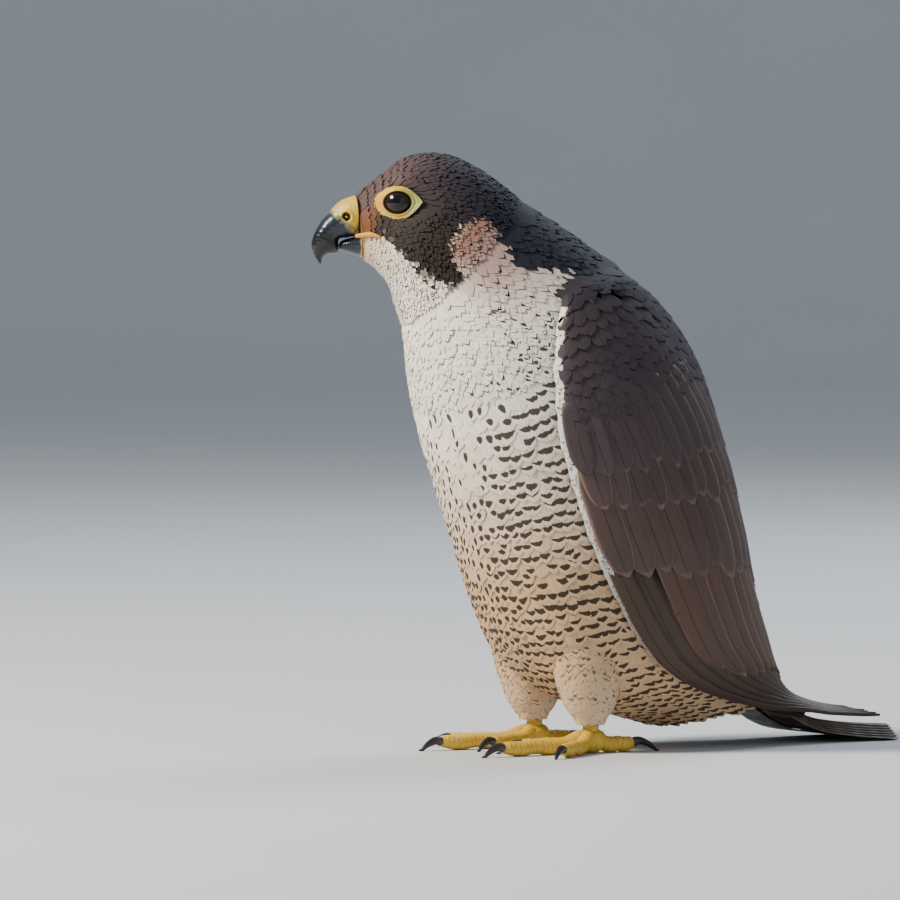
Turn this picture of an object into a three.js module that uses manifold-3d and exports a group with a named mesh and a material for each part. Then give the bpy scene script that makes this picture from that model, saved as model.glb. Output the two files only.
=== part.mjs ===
// A peregrine falcon at life size, standing upright with folded wings and its head turned to its right.
// Millimetres, +Z up. +X is the bird's left and -Y is the way that its body faces.
// The body is one loft from the base of the bill to the rump, parted into head, neck and torso.
import * as THREE from 'three';
import Module from 'manifold-3d';

const wasm = await Module();
wasm.setup();
const { Manifold } = wasm;

// Driving sizes
const GAP = 0.3; // between neighbouring nodes
const HEAD_TURN = 24; // degrees that the head looks to the right of the body
const NECK_AXIS_Y = -40; // the head turns about the vertical line through x 0 and this y
const VANE = 0.55; // thickness of a vane
const EYE = { at: [13.0, -86.2, 241.6], radius: 7.4 };
const TOE_LEVEL = 0; // the floor

// The body's sections before the head turns. front and back are [y, z] on the throat side and
// on the back, half is half the width, and turn is the share of HEAD_TURN.
// The last four go on round the tail, and only the wings lie on them.
const BODY = [
  { at: 'bill base', front: [-100.5, 216.5], back: [-104.0, 244.8], half: 9.8, turn: 1 },
  { at: 'lores', front: [-97.0, 214.6], back: [-91.6, 254.2], half: 15.5, turn: 1 },
  { at: 'eye', front: [-92.8, 210.8], back: [-80, 261.8], half: 20.5, turn: 1 },
  { at: 'crown', front: [-88.4, 205], back: [-62, 262.2], half: 24.4, turn: 1 },
  { at: 'nape', front: [-86, 196.5], back: [-45, 253.5], half: 27.0, turn: 0.88 },
  { at: 'upper neck', front: [-83.5, 187], back: [-28, 240.5], half: 30.5, turn: 0.62 },
  { at: 'lower neck', front: [-82, 176], back: [-6.5, 227.5], half: 37.0, turn: 0.32 },
  { at: 'shoulders', front: [-80, 163], back: [15, 212], half: 45.0, turn: 0.1 },
  { at: 'breast', front: [-75, 145], back: [32, 192], half: 51.5, turn: 0 },
  { at: 'upper belly', front: [-67.5, 123], back: [48.5, 165], half: 54.5, turn: 0 },
  { at: 'belly', front: [-58, 98], back: [60, 134], half: 55.2, turn: 0 },
  { at: 'flank', front: [-48, 73], back: [69.5, 101], half: 53.4, turn: 0 },
  { at: 'thigh', front: [-34, 47], back: [77.5, 71], half: 49.0, turn: 0 },
  { at: 'vent', front: [-14, 27], back: [86, 49], half: 40.0, turn: 0 },
  { at: 'undertail', front: [24, 14], back: [94, 32], half: 30.0, turn: 0 },
  { at: 'tail root', front: [62, 5], back: [104, 19.5], half: 25.5, turn: 0 },
  { at: 'tail middle', front: [98, 2], back: [122, 12.5], half: 24.0, turn: 0 },
  { at: 'tail end', front: [128, 1], back: [143, 9.8], half: 22.0, turn: 0 },
  { at: 'past the wing tips', front: [152, 0.5], back: [160, 8.5], half: 20.0, turn: 0 },
];
const HEAD_END = 4.2; // station number of the cut between head and neck
const NECK_END = 7.1; // and of the cut between neck and torso
const TORSO_END = 14;
const CUT = 0.035; // stations left open at a cut, which leaves GAP where the sections lie closest

// Swellings and hollows of the surface: station, angle from the throat, height and reach in each
const RELIEF = [
  { at: 'brow', t: 1.9, angle: 128, lift: 2.2, reach: [0.75, 15] },
  { at: 'eye hollow', t: 2.0, angle: 99, lift: -2.2, reach: [0.55, 17] },
  { at: 'cheek', t: 2.9, angle: 62, lift: 1.8, reach: [1.0, 24] },
  { at: 'thigh', t: 12.4, angle: 38, lift: 4.5, reach: [1.3, 18] },
];

// The folded wing on the body's surface, by station: lead and inner are angles from the throat
// to its leading edge and to its edge along the back, and thick is its depth over the body.
const WING = [
  { t: 6.5, lead: 102, inner: 120, thick: 1.2 },
  { t: 6.95, lead: 88, inner: 136, thick: 2.6 },
  { t: 7.6, lead: 76, inner: 147, thick: 3.4 },
  { t: 8.6, lead: 67, inner: 158, thick: 4.2 },
  { t: 9.6, lead: 65, inner: 167, thick: 3.4 },
  { t: 10.6, lead: 66, inner: 173, thick: 3.9 },
  { t: 11.6, lead: 70, inner: 175.5, thick: 3.5 },
  { t: 12.6, lead: 76, inner: 176.8, thick: 3.4 },
  { t: 13.6, lead: 87, inner: 177.0, thick: 3.0 },
  { t: 14.6, lead: 101, inner: 176.6, thick: 2.0 },
  { t: 15.6, lead: 116, inner: 176.0, thick: 1.2 },
];

const WING_BED = 1.4; // how far the wing's flesh stands off the body's true curve
const LOW = 2.2; // lift of a vane where the row above covers it
const HIGH = 4.0; // and where it lies over the next row
const TILT = 0.62; // half the lift of a vane's outer edge over its inner edge

// Rows of the wing's feathers, from those that lie deepest to those on top. from and to are shares
// of the way from the leading edge to the back. root, tip and covered, where the row above ends,
// are stations at from and at to, and point is the share of the length that narrows to the tip.
const ROWS = [
  { of: 'primaries', count: 6, from: 0.02, to: 0.62, root: [10.4, 13.0], tip: [17.5, 16.3], covered: [11.4, 14.4], ramp: 3, point: 0.35, steps: 7 },
  { of: 'secondaries', count: 7, from: 0.3, to: 0.97, root: [10.2, 10.8], tip: [13.5, 14.8], covered: [11.3, 12.1], ramp: 1, point: 0.2, steps: 5 },
  { of: 'greater coverts', count: 7, from: 0.04, to: 0.95, root: [9.1, 9.6], tip: [11.1, 11.9], covered: [9.8, 10.5], ramp: 0.6, point: 0.3, steps: 4 },
  { of: 'median coverts', count: 7, from: 0.06, to: 0.93, root: [7.9, 8.3], tip: [9.7, 10.3], covered: [8.1, 8.5], ramp: 0.8, point: 0.3, steps: 4 },
];

const vec = (x, y, z) => new THREE.Vector3(x, y, z);
const { lerp, clamp, degToRad } = THREE.MathUtils;
const mix = (pair, f) => lerp(pair[0], pair[1], f);

// A smooth curve through numbers that are one step apart, read at t.
function through(values, t) {
  const last = values.length - 1;
  const i = clamp(Math.floor(t), 0, last - 1);
  const f = t - i;
  const p1 = values[i];
  const p2 = values[i + 1];
  const p0 = i > 0 ? values[i - 1] : 2 * p1 - p2;
  const p3 = i + 2 <= last ? values[i + 2] : 2 * p2 - p1;
  const m1 = (p2 - p0) / 2;
  const m2 = (p3 - p1) / 2;
  const d = p2 - p1;
  return p1 + f * (m1 + f * (3 * d - 2 * m1 - m2 + f * (m1 + m2 - 2 * d)));
}

// The same for a curve whose points stand at stations of their own.
function along(rows, key, t) {
  let i = 0;
  while (i < rows.length - 2 && t > rows[i + 1].t) i += 1;
  const f = clamp((t - rows[i].t) / (rows[i + 1].t - rows[i].t), 0, 1);
  return through(rows.map((row) => row[key]), i + f);
}

// A point turned with the head about the vertical line of the neck.
function turned(p, share) {
  const a = -degToRad(HEAD_TURN) * share;
  const y = p.y - NECK_AXIS_Y;
  return vec(p.x * Math.cos(a) - y * Math.sin(a), NECK_AXIS_Y + p.x * Math.sin(a) + y * Math.cos(a), p.z);
}

const column = (key, n) => BODY.map((s) => (n === undefined ? s[key] : s[key][n]));
const COLUMNS = {
  fy: column('front', 0), fz: column('front', 1), by: column('back', 0), bz: column('back', 1),
  half: column('half'), turn: column('turn'),
};

// The bare loft: station t, and angle in degrees from the throat, past 90 at the side, to 180.
function loftPoint(t, angle) {
  const front = vec(0, through(COLUMNS.fy, t), through(COLUMNS.fz, t));
  const back = vec(0, through(COLUMNS.by, t), through(COLUMNS.bz, t));
  const a = degToRad(angle);
  const p = front.clone().add(back).multiplyScalar(0.5);
  p.addScaledVector(front.sub(back), 0.5 * Math.cos(a));
  p.x = through(COLUMNS.half, t) * Math.sin(a);
  return turned(p, through(COLUMNS.turn, t));
}

function loftNormal(t, angle) {
  const e = 0.02;
  const dt = loftPoint(t + e, angle).sub(loftPoint(t - e, angle));
  const da = loftPoint(t, angle + 50 * e).sub(loftPoint(t, angle - 50 * e));
  return dt.cross(da).normalize();
}

// The feathered surface: the loft with its relief, and lift more outside it.
function bodyPoint(t, angle, lift = 0) {
  let height = lift;
  const folded = Math.abs(((angle + 180) % 360) - 180);
  for (const r of RELIEF) {
    height += r.lift * Math.exp(-(((t - r.t) / r.reach[0]) ** 2) - ((folded - r.angle) / r.reach[1]) ** 2);
  }
  return loftPoint(t, angle).addScaledVector(loftNormal(t, angle), height);
}

// A closed solid from rings of equal length. Sides from mirror on are split the other way, so
// that both faces of a thin piece are split alike.
function ringSolid(rings, mirror = Infinity) {
  const n = rings[0].length;
  const points = rings.flat().map((p) => [p.x, p.y, p.z]);
  const tris = [];
  for (let i = 0; i < rings.length - 1; i += 1) {
    for (let j = 0; j < n; j += 1) {
      const a = i * n + j;
      const b = i * n + ((j + 1) % n);
      if (j < mirror) tris.push([a, b, b + n], [a, b + n, a + n]);
      else tris.push([a, b, a + n], [b, b + n, a + n]);
    }
  }
  for (const [ring, first] of [[rings[0], 0], [rings[rings.length - 1], (rings.length - 1) * n]]) {
    const flip = first > 0;
    if (n < 7) {
      for (let j = 1; j < n - 1; j += 1) tris.push(flip ? [first, first + j, first + j + 1] : [first, first + j + 1, first + j]);
    } else {
      const c = ring.reduce((sum, p) => sum.add(p), vec(0, 0, 0)).multiplyScalar(1 / n);
      points.push([c.x, c.y, c.z]);
      for (let j = 0; j < n; j += 1) {
        const [p, q] = [first + j, first + ((j + 1) % n)];
        tris.push(flip ? [points.length - 1, p, q] : [points.length - 1, q, p]);
      }
    }
  }
  return toSolid(points, tris);
}

// Points and triangles as a solid with its faces pointing out.
function toSolid(points, tris) {
  let volume = 0;
  for (const t of tris) {
    const [a, b, c] = t.map((k) => vec(...points[k]));
    volume += a.dot(b.cross(c));
  }
  const faces = volume < 0 ? tris.map(([a, b, c]) => [a, c, b]) : tris;
  return new Manifold(new wasm.Mesh({
    numProp: 3,
    vertProperties: Float32Array.from(points.flat()),
    triVerts: Uint32Array.from(faces.flat()),
  }));
}

// A three.js geometry as a solid.
function fromGeometry(geometry) {
  const index = new Map();
  const position = geometry.toNonIndexed().getAttribute('position');
  const points = [];
  const corners = [];
  for (let i = 0; i < position.count; i += 1) {
    const p = [position.getX(i), position.getY(i), position.getZ(i)];
    const key = p.map((v) => Math.round(v * 1e4)).join();
    if (!index.has(key)) {
      index.set(key, points.length);
      points.push(p);
    }
    corners.push(index.get(key));
  }
  const tris = [];
  for (let i = 0; i < corners.length; i += 3) {
    const t = corners.slice(i, i + 3);
    if (new Set(t).size === 3) tris.push(t);
  }
  return toSolid(points, tris);
}

// The largest closed surface of a solid.
function largest(solid) {
  return solid.decompose().reduce((a, b) => (b.volume() > a.volume() ? b : a));
}

function mirrored(solid) {
  return solid.mirror([1, 0, 0]);
}

function ball(centre, radius, detail = 24) {
  const sphere = new THREE.SphereGeometry(radius, detail, detail / 2);
  sphere.translate(...centre);
  return fromGeometry(sphere);
}

// A length of the body's loft, with grow more outside it.
function bodyLength(from, to, steps, sides, grow = 0) {
  const rings = [];
  for (let i = 0; i <= steps; i += 1) {
    const ring = [];
    for (let j = 0; j < sides; j += 1) ring.push(bodyPoint(lerp(from, to, i / steps), (360 * j) / sides, grow));
    rings.push(ring);
  }
  return ringSolid(rings);
}

// The neck and the torso, with grow more round them, for which both run past the cut between them.
function neck(grow = 0) {
  return bodyLength(HEAD_END + CUT, NECK_END + (grow ? 3 * CUT : 0), 8, 28, grow);
}

function torso(grow = 0) {
  return bodyLength(NECK_END + (grow ? -2 * CUT : CUT), TORSO_END, 16, 28, grow);
}

// A point on a folded wing: share f of the way from its leading edge to the back. side is 1 on
// the left and -1 on the right.
function wingPoint(side, t, f, lift) {
  const angle = lerp(along(WING, 'lead', t), along(WING, 'inner', t), f);
  return bodyPoint(t, side * angle, lift);
}

// The depth of the wing's flesh over the body, thinner along its edges.
function wingDepth(t, f) {
  return WING_BED + 0.5 + along(WING, 'thick', t) * Math.sin(Math.PI * clamp(0.1 + 0.83 * f, 0, 1)) ** 0.8;
}

function wingCore(side) {
  const steps = 13;
  const across = 6;
  const rings = [];
  const [first, last] = [WING[0].t, WING[WING.length - 1].t];
  for (let i = 0; i <= steps; i += 1) {
    const t = lerp(first, last, i / steps);
    const ring = [];
    for (let j = 0; j <= across; j += 1) ring.push(wingPoint(side, t, j / across, wingDepth(t, j / across)));
    for (let j = across; j >= 0; j -= 1) ring.push(wingPoint(side, t, j / across, WING_BED));
    rings.push(ring);
  }
  return ringSolid(rings, across + 1);
}

// One vane on the wing. It starts inside the core and stays low as far as the row above covers it,
// then rises over the roots of the next row. It is tilted across, so that it lies over its neighbour.
function wingVane(side, row, i) {
  const f = i / (row.count - 1);
  const middle = lerp(row.from, row.to, f);
  const half = (0.78 * (row.to - row.from)) / (row.count - 1);
  const root = mix(row.root, f);
  const tip = mix(row.tip, f);
  const covered = mix(row.covered, f);
  const rings = [];
  for (let k = 0; k <= row.steps; k += 1) {
    const s = k / row.steps;
    const t = lerp(root, tip, s);
    const end = Math.max(0, (s - 1 + row.point) / row.point);
    const wide = half * Math.sqrt(Math.max(1 - end ** 2.2, 0.02)) * (0.6 + 0.4 * Math.min(1, s * 4));
    const rise = k === 0 ? -1.6 : LOW + (HIGH - LOW) * clamp((t - covered) / row.ramp, 0, 1);
    const ring = [];
    for (const [edge, down] of [[-1, 0], [0, 0], [1, 0], [1, VANE], [0, VANE], [-1, VANE]]) {
      const at = clamp(middle + edge * wide, -0.04, 1);
      const lift = wingDepth(t, at) + rise + TILT * edge - down;
      ring.push(wingPoint(side, t, at, lift));
    }
    rings.push(ring);
  }
  return ringSolid(rings, 3);
}

function wing(side) {
  const vanes = [];
  for (const row of ROWS) {
    for (let i = 0; i < row.count; i += 1) vanes.push(wingVane(side, row, i));
  }
  return largest(Manifold.union([wingCore(side), ...vanes]).subtract(neck(1.5 * GAP)).subtract(torso(1.5 * GAP)));
}


// The tail's own line along its middle, [y, z] from its root to its tip, which lies on the floor.
const TAIL_LINE = [[76, 48], [85, 30], [97, 15], [113, 6.2], [132, 2.7], [150, 1.1], [165, 0.4]];
const TAIL = { pairs: 6, rootHalf: 7, tipSpread: 15, vaneHalf: 10.5, layer: 0.95, rootS: 0.12 };

function tailPoint(s, x, lift) {
  const k = s * (TAIL_LINE.length - 1);
  const at = (d) => vec(0, through(TAIL_LINE.map((p) => p[0]), k + d), through(TAIL_LINE.map((p) => p[1]), k + d));
  const tangent = at(0.02).sub(at(-0.02)).normalize();
  const p = at(0);
  p.x = x;
  return p.add(vec(0, -tangent.z, tangent.y).multiplyScalar(lift));
}

// One tail feather: order 0 is the middle pair, which lies on top.
function rectrix(side, order) {
  const rings = [];
  const steps = 8;
  for (let k = 0; k <= steps; k += 1) {
    const s = lerp(TAIL.rootS, 1 - 0.012 * order, k / steps);
    const close = Math.max(0, (k / steps - 0.8) / 0.2);
    const wide = TAIL.vaneHalf * (0.45 + 0.55 * Math.min(1, k / 3)) * Math.sqrt(Math.max(0.03, 1 - close ** 2.5));
    const middle = side * (2 + (order * lerp(TAIL.rootHalf, TAIL.tipSpread, k / steps)) / (TAIL.pairs - 1));
    const lift = (TAIL.pairs - 1 - order) * TAIL.layer * lerp(1.25, 1, k / steps) - (side > 0 ? 0 : 0.45);
    const ring = [];
    for (const [x, up] of [[-1, VANE], [1, VANE], [1, 0], [-1, 0]]) ring.push(tailPoint(s, middle + x * wide, lift + up));
    rings.push(ring);
  }
  return ringSolid(rings, 2);
}

// The rump's end, which the tail feathers grow from.
function tailCore() {
  const rings = [];
  for (let k = 0; k <= 4; k += 1) {
    const s = lerp(0.07, 0.4, k / 4);
    const ring = [];
    for (let j = 0; j < 12; j += 1) {
      const a = (2 * Math.PI * j) / 12;
      ring.push(tailPoint(s, lerp(11, 14, k / 4) * Math.cos(a), 2.2 + lerp(3.6, 1.2, k / 4) * Math.sin(a)));
    }
    rings.push(ring);
  }
  return ringSolid(rings);
}

function tail() {
  const vanes = [];
  for (let order = 0; order < TAIL.pairs; order += 1) vanes.push(rectrix(1, order), rectrix(-1, order));
  return largest(Manifold.union([tailCore(), ...vanes]).trimByPlane([0, 0, 1], TOE_LEVEL));
}

// A tube of round or flattened sections: each knot is [point, half width, half height], and up
// is the way that the height is measured.
function tube(knots, sides, up = vec(0, 0, 1)) {
  const rings = knots.map(([p, w, h], i) => {
    const before = knots[Math.max(i - 1, 0)][0];
    const after = knots[Math.min(i + 1, knots.length - 1)][0];
    const tangent = after.clone().sub(before).normalize();
    const side = tangent.clone().cross(up).normalize();
    const top = side.clone().cross(tangent).normalize();
    const ring = [];
    for (let j = 0; j < sides; j += 1) {
      const a = (2 * Math.PI * (j + 0.5)) / sides;
      ring.push(p.clone().addScaledVector(side, w * Math.cos(a)).addScaledVector(top, h * Math.sin(a)));
    }
    return ring;
  });
  return ringSolid(rings);
}

// The bill, before the head turns. Each section runs from top to bottom, [y, z], half is half its width.
const CERE = [
  { top: [-104.4, 244.6], bottom: [-102.8, 229.6], half: 8.9 },
  { top: [-109.9, 242.3], bottom: [-103.1, 228.8], half: 8.2 },
  { top: [-114.0, 238.3], bottom: [-103.3, 228.3], half: 7.2 },
];
const UPPER_BILL = [
  { top: [-114.3, 237.8], bottom: [-102.6, 227.0], half: 7.0 },
  { top: [-117.9, 234.2], bottom: [-107.0, 226.2], half: 6.5 },
  { top: [-120.6, 229.9], bottom: [-110.9, 225.2], half: 5.7 },
  { top: [-122.2, 226.4], bottom: [-111.3, 219.8], half: 5.2 },
  { top: [-122.9, 222.4], bottom: [-115.8, 218.9], half: 3.6 },
  { top: [-121.8, 218.2], bottom: [-118.0, 217.4], half: 1.9 },
  { top: [-119.5, 214.9], bottom: [-118.8, 214.6], half: 0.4 },
];
const LOWER_BILL = [
  { top: [-102.5, 226.4], bottom: [-101.4, 218.0], half: 7.0 },
  { top: [-106.5, 225.6], bottom: [-106.2, 219.4], half: 5.9 },
  { top: [-109.6, 224.6], bottom: [-109.4, 220.4], half: 4.5 },
  { top: [-110.8, 223.4], bottom: [-110.8, 221.2], half: 3.0 },
];
const NOSTRIL = { at: [8.0, -108.3, 235.4], radius: 1.9, peg: 0.7 };
const MOUTH_LINE = [[-103.2, 226.7], [-99.0, 227.2], [-95.0, 226.2]]; // back from the bill, [y, z]

// The bare ring of the eye: how far from the gaze it lies, in degrees, by the angle round it
const LID = { thick: 1.0, above: 46, below: 50, front: 62, rear: 57, sides: 16 };
const GAZE = { side: 78, up: 2 }; // degrees from straight ahead to the left, and upward

// The left leg and foot. Toes spread from the hub, and turn is their angle from straight ahead.
const HUB = [23, -7, 8.2];
const THIGH = [
  { at: [20, -10.5, 66], wide: 16, deep: 18 },
  { at: [22.5, -10, 50], wide: 16, deep: 17.5 },
  { at: [23.5, -8.8, 36], wide: 14.5, deep: 15.5 },
  { at: [23.5, -7.8, 22], wide: 10.5, deep: 11.5 },
  { at: [23.5, -7.5, 14.6], wide: 6.4, deep: 6.9 },
];
const TOES = [
  { name: 'inner', turn: -21, length: 31, thick: 3.3, claw: 13 },
  { name: 'middle', turn: 3, length: 47, thick: 3.3, claw: 13.5 },
  { name: 'outer', turn: 38, length: 37, thick: 3.1, claw: 12 },
  { name: 'hind', turn: 172, length: 20, thick: 3.4, claw: 15 },
];
const CLAW_BEND = 58; // degrees that a claw turns down over its length

// A lengthwise beak form: each section is an arch over a flatter sole.
function beak(sections, arch, grow = 0) {
  const rings = sections.map((s) => {
    const top = vec(0, ...s.top);
    const bottom = vec(0, ...s.bottom);
    const up = top.clone().sub(bottom);
    const reach = up.length();
    up.normalize();
    const ring = [];
    for (let j = 0; j < 14; j += 1) {
      const a = (2 * Math.PI * j) / 14;
      const height = (0.5 + 0.5 * Math.cos(a)) ** arch;
      const p = bottom.clone().addScaledVector(up, height * (reach + 2 * grow) - grow);
      p.x = (s.half + grow) * Math.sign(Math.sin(a)) * Math.abs(Math.sin(a)) ** 0.8;
      ring.push(turned(p, 1));
    }
    return ring;
  });
  return ringSolid(rings);
}

function headBall(at, radius, side, detail) {
  const p = turned(vec(side * at[0], at[1], at[2]), 1);
  return ball([p.x, p.y, p.z], radius, detail);
}

function cere() {
  let solid = beak(CERE, 0.8);
  for (const side of [1, -1]) {
    solid = solid.subtract(headBall(NOSTRIL.at, NOSTRIL.radius, side, 12));
  }
  return largest(solid);
}

// The ring of bare skin and lids round one eye, with grow more round its section.
function eyeRing(side, grow = 0) {
  const centre = vec(side * EYE.at[0], EYE.at[1], EYE.at[2]);
  const [turnAside, up] = [degToRad(GAZE.side), degToRad(GAZE.up)];
  const gaze = vec(side * Math.sin(turnAside) * Math.cos(up), -Math.cos(turnAside) * Math.cos(up), Math.sin(up));
  const forward = vec(0, -1, 0).addScaledVector(gaze, gaze.y).normalize();
  const upward = gaze.clone().cross(forward).multiplyScalar(-side).normalize();
  const reach = EYE.radius + GAP + LID.thick;
  const points = [];
  const n = LID.sides;
  for (let j = 0; j < n; j += 1) {
    const a = (2 * Math.PI * j) / n;
    const [c, s] = [Math.cos(a), Math.sin(a)];
    const level = s > 0 ? LID.above : LID.below;
    const corner = c > 0 ? LID.front : LID.rear;
    const off = degToRad(level + (corner - level) * Math.abs(c) ** 3);
    const p = gaze.clone().multiplyScalar(Math.cos(off)).addScaledVector(forward, c * Math.sin(off));
    points.push(p.addScaledVector(upward, s * Math.sin(off)));
  }
  const rings = points.map((p, j) => {
    const tangent = points[(j + 1) % n].clone().sub(points[(j + n - 1) % n]).normalize();
    const across = tangent.clone().cross(p).normalize();
    const ring = [];
    for (let k = 0; k < 5; k += 1) {
      const a = (2 * Math.PI * (k + 0.5)) / 5;
      const q = centre.clone().addScaledVector(p, reach + (LID.thick + grow) * Math.cos(a));
      ring.push(turned(q.addScaledVector(across, (LID.thick + grow) * 1.15 * Math.sin(a)), 1));
    }
    return ring;
  });
  return loopSolid(rings);
}

// A closed loop of rings, such as a hoop.
function loopSolid(rings) {
  const n = rings[0].length;
  const tris = [];
  rings.forEach((ring, i) => {
    const next = ((i + 1) % rings.length) * n;
    for (let j = 0; j < n; j += 1) {
      const k = (j + 1) % n;
      tris.push([i * n + j, i * n + k, next + k], [i * n + j, next + k, next + j]);
    }
  });
  return toSolid(rings.flat().map((p) => [p.x, p.y, p.z]), tris);
}

function head() {
  let solid = bodyLength(0, HEAD_END, 11, 24);
  for (const side of [1, -1]) {
    solid = solid.subtract(eyeRing(side, GAP)).subtract(headBall(EYE.at, EYE.radius + GAP, side, 16));
    const groove = MOUTH_LINE.map(([y, z], i) => {
      const x = side * [9.6, 13.0, 15.6][i];
      return [turned(vec(x, y, z), 1), 1.6, 0.35];
    });
    solid = solid.subtract(tube(groove, 6));
  }
  return largest(solid);
}

function thigh() {
  const knots = THIGH.map((s) => [vec(...s.at), s.wide, s.deep]);
  const shape = tube(knots, 14, vec(0, -1, 0));
  return largest(shape.subtract(torso(GAP)).subtract(shank(GAP)));
}

function shank(grow = 0) {
  const [x, y, z] = HUB;
  const knots = [
    [vec(x, y + 0.5, z - 4), 3.6 + grow, 3.8 + grow],
    [vec(x, y, z + 3), 3.2 + grow, 3.6 + grow],
    [vec(x, y - 0.5, z + 16 + grow), 3.0 + grow, 3.2 + grow],
  ];
  return tube(knots, 10, vec(0, -1, 0));
}

// A toe's line: from the hub down to the floor, then out along it, with a low knuckle.
function toeLine(toe) {
  const a = degToRad(toe.turn);
  const out = vec(Math.sin(a), -Math.cos(a), 0);
  const start = vec(...HUB);
  const at = (share, z) => vec(start.x, start.y, z).addScaledVector(out, toe.length * share);
  const low = toe.thick - 0.25;
  return [at(0, 6.6), at(0.13, 6.4), at(0.3, low + 1.1), at(0.5, low + 0.3), at(0.62, low + 0.9), at(0.8, low + 0.2), at(0.93, low + 0.7), at(1, low + 0.9)];
}

function foot() {
  const pieces = [shank()];
  for (const toe of TOES) {
    const swell = [1.05, 1.1, 0.98, 1.04, 0.9, 0.98, 0.86, 0.66];
    const knots = toeLine(toe).map((p, i) => [p, toe.thick * swell[i], toe.thick * swell[i]]);
    pieces.push(tube(knots, 6));
  }
  const hub = new THREE.SphereGeometry(5.6, 10, 6);
  hub.scale(1.05, 1.15, 0.95);
  hub.translate(HUB[0], HUB[1], 5.2);
  pieces.push(fromGeometry(hub));
  return largest(Manifold.union(pieces).trimByPlane([0, 0, 1], TOE_LEVEL));
}

function claw(toe) {
  const line = toeLine(toe);
  const end = line[line.length - 1];
  const out = end.clone().sub(line[line.length - 2]).normalize();
  const aside = vec(out.x, out.y, 0).normalize();
  const tilt = Math.asin(out.z);
  const base = end.clone().addScaledVector(out, GAP);
  let p = base.clone().addScaledVector(out, 0.8);
  const steps = 5;
  const knots = [[base, toe.thick * 0.56, toe.thick * 0.66]];
  for (let k = 0; k <= steps; k += 1) {
    const r = toe.thick * 0.6 * (1 - k / steps) ** 0.8 + 0.22;
    knots.push([p.clone(), r * 0.85, r]);
    const a = tilt + degToRad(26 * Math.max(0, 1 - k / 1.5)) - degToRad(CLAW_BEND) * (k / steps) ** 0.8;
    p = p.clone().addScaledVector(aside, (toe.claw / steps) * Math.cos(a));
    p.z = Math.max(p.z + (toe.claw / steps) * Math.sin(a), 0.5);
  }
  return tube(knots, 6).trimByPlane([0, 0, 1], TOE_LEVEL);
}

const group = new THREE.Group();
function add(name, solid, colour, roughness = 0.8, metalness = 0) {
  const { vertProperties, triVerts } = solid.getMesh();
  const geometry = new THREE.BufferGeometry();
  geometry.setAttribute('position', new THREE.BufferAttribute(Float32Array.from(vertProperties), 3));
  geometry.setIndex(new THREE.BufferAttribute(Uint32Array.from(triVerts), 1));
  geometry.computeVertexNormals();
  const mesh = new THREE.Mesh(geometry, new THREE.MeshStandardMaterial({ color: colour, roughness, metalness }));
  mesh.name = name;
  group.add(mesh);
}

// A left piece, and its mirror image on the right.
function addPair(name, solid, colour, roughness) {
  add(`${name}_left`, solid, colour, roughness);
  add(`${name}_right`, mirrored(solid), colour, roughness);
}

add('head', head(), 0x3c4048);
add('neck', neck(), 0x8a8078);
add('torso', torso(), 0xc3ad96);
add('wing_left', wing(1), 0x41372f);
add('wing_right', wing(-1), 0x41372f);
add('tail', largest(tail().subtract(bodyLength(TORSO_END - 3, TORSO_END + CUT, 5, 28, GAP))), 0x34291f);
addPair('thigh', thigh(), 0xb59a7c);
addPair('foot', foot(), 0xc98a3a, 0.6);
for (const toe of TOES) addPair(`claw_${toe.name}`, claw(toe), 0x17181c, 0.35);
for (const [name, side] of [['left', 1], ['right', -1]]) {
  add(`eye_${name}`, headBall(EYE.at, EYE.radius, side, 16), 0x0d0908, 0.05);
  add(`eyelids_${name}`, eyeRing(side), 0xd8b83a, 0.6);
}
add('cere', cere(), 0xe3c44a, 0.5);
add('bill_upper', beak(UPPER_BILL, 0.8), 0x2b3140, 0.3);
add('bill_lower', beak(LOWER_BILL, 0.8), 0x3a3a3c, 0.35);

// The origin is on the floor, under the middle of the whole bird's box.
const box = new THREE.Box3().setFromObject(group);
group.position.set(-(box.min.x + box.max.x) / 2, -(box.min.y + box.max.y) / 2, -box.min.z);
export default group;
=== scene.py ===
import math

import bpy
import numpy as np
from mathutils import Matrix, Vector


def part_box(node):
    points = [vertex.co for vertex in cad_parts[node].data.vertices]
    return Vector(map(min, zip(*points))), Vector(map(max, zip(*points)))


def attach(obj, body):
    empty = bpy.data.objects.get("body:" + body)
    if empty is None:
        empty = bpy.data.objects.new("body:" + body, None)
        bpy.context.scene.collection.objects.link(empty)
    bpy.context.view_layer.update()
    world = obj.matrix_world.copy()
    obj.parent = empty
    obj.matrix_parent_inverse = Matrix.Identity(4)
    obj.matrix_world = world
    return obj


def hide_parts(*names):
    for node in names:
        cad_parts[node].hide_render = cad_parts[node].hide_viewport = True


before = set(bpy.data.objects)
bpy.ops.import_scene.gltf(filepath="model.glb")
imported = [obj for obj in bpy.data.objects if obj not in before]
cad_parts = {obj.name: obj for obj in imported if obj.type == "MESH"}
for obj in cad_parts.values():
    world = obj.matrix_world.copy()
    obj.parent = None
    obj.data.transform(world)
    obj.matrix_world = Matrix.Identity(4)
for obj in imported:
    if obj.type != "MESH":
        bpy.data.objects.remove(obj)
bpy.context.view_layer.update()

# Sizes are in millimetres in the bird's own frame: +X is its left, -Y is ahead of its body.
HEAD_TURN = math.radians(24)  # the head looks to the bird's right
NECK_AXIS_Y = -40.0
EYE_AT = np.array([13.0, -86.2, 241.6])
EYE_RADIUS = 7.4
COAT = 2.4  # depth of the body's feathers over the skin
COAT_AT_BILL = 0.5

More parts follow.
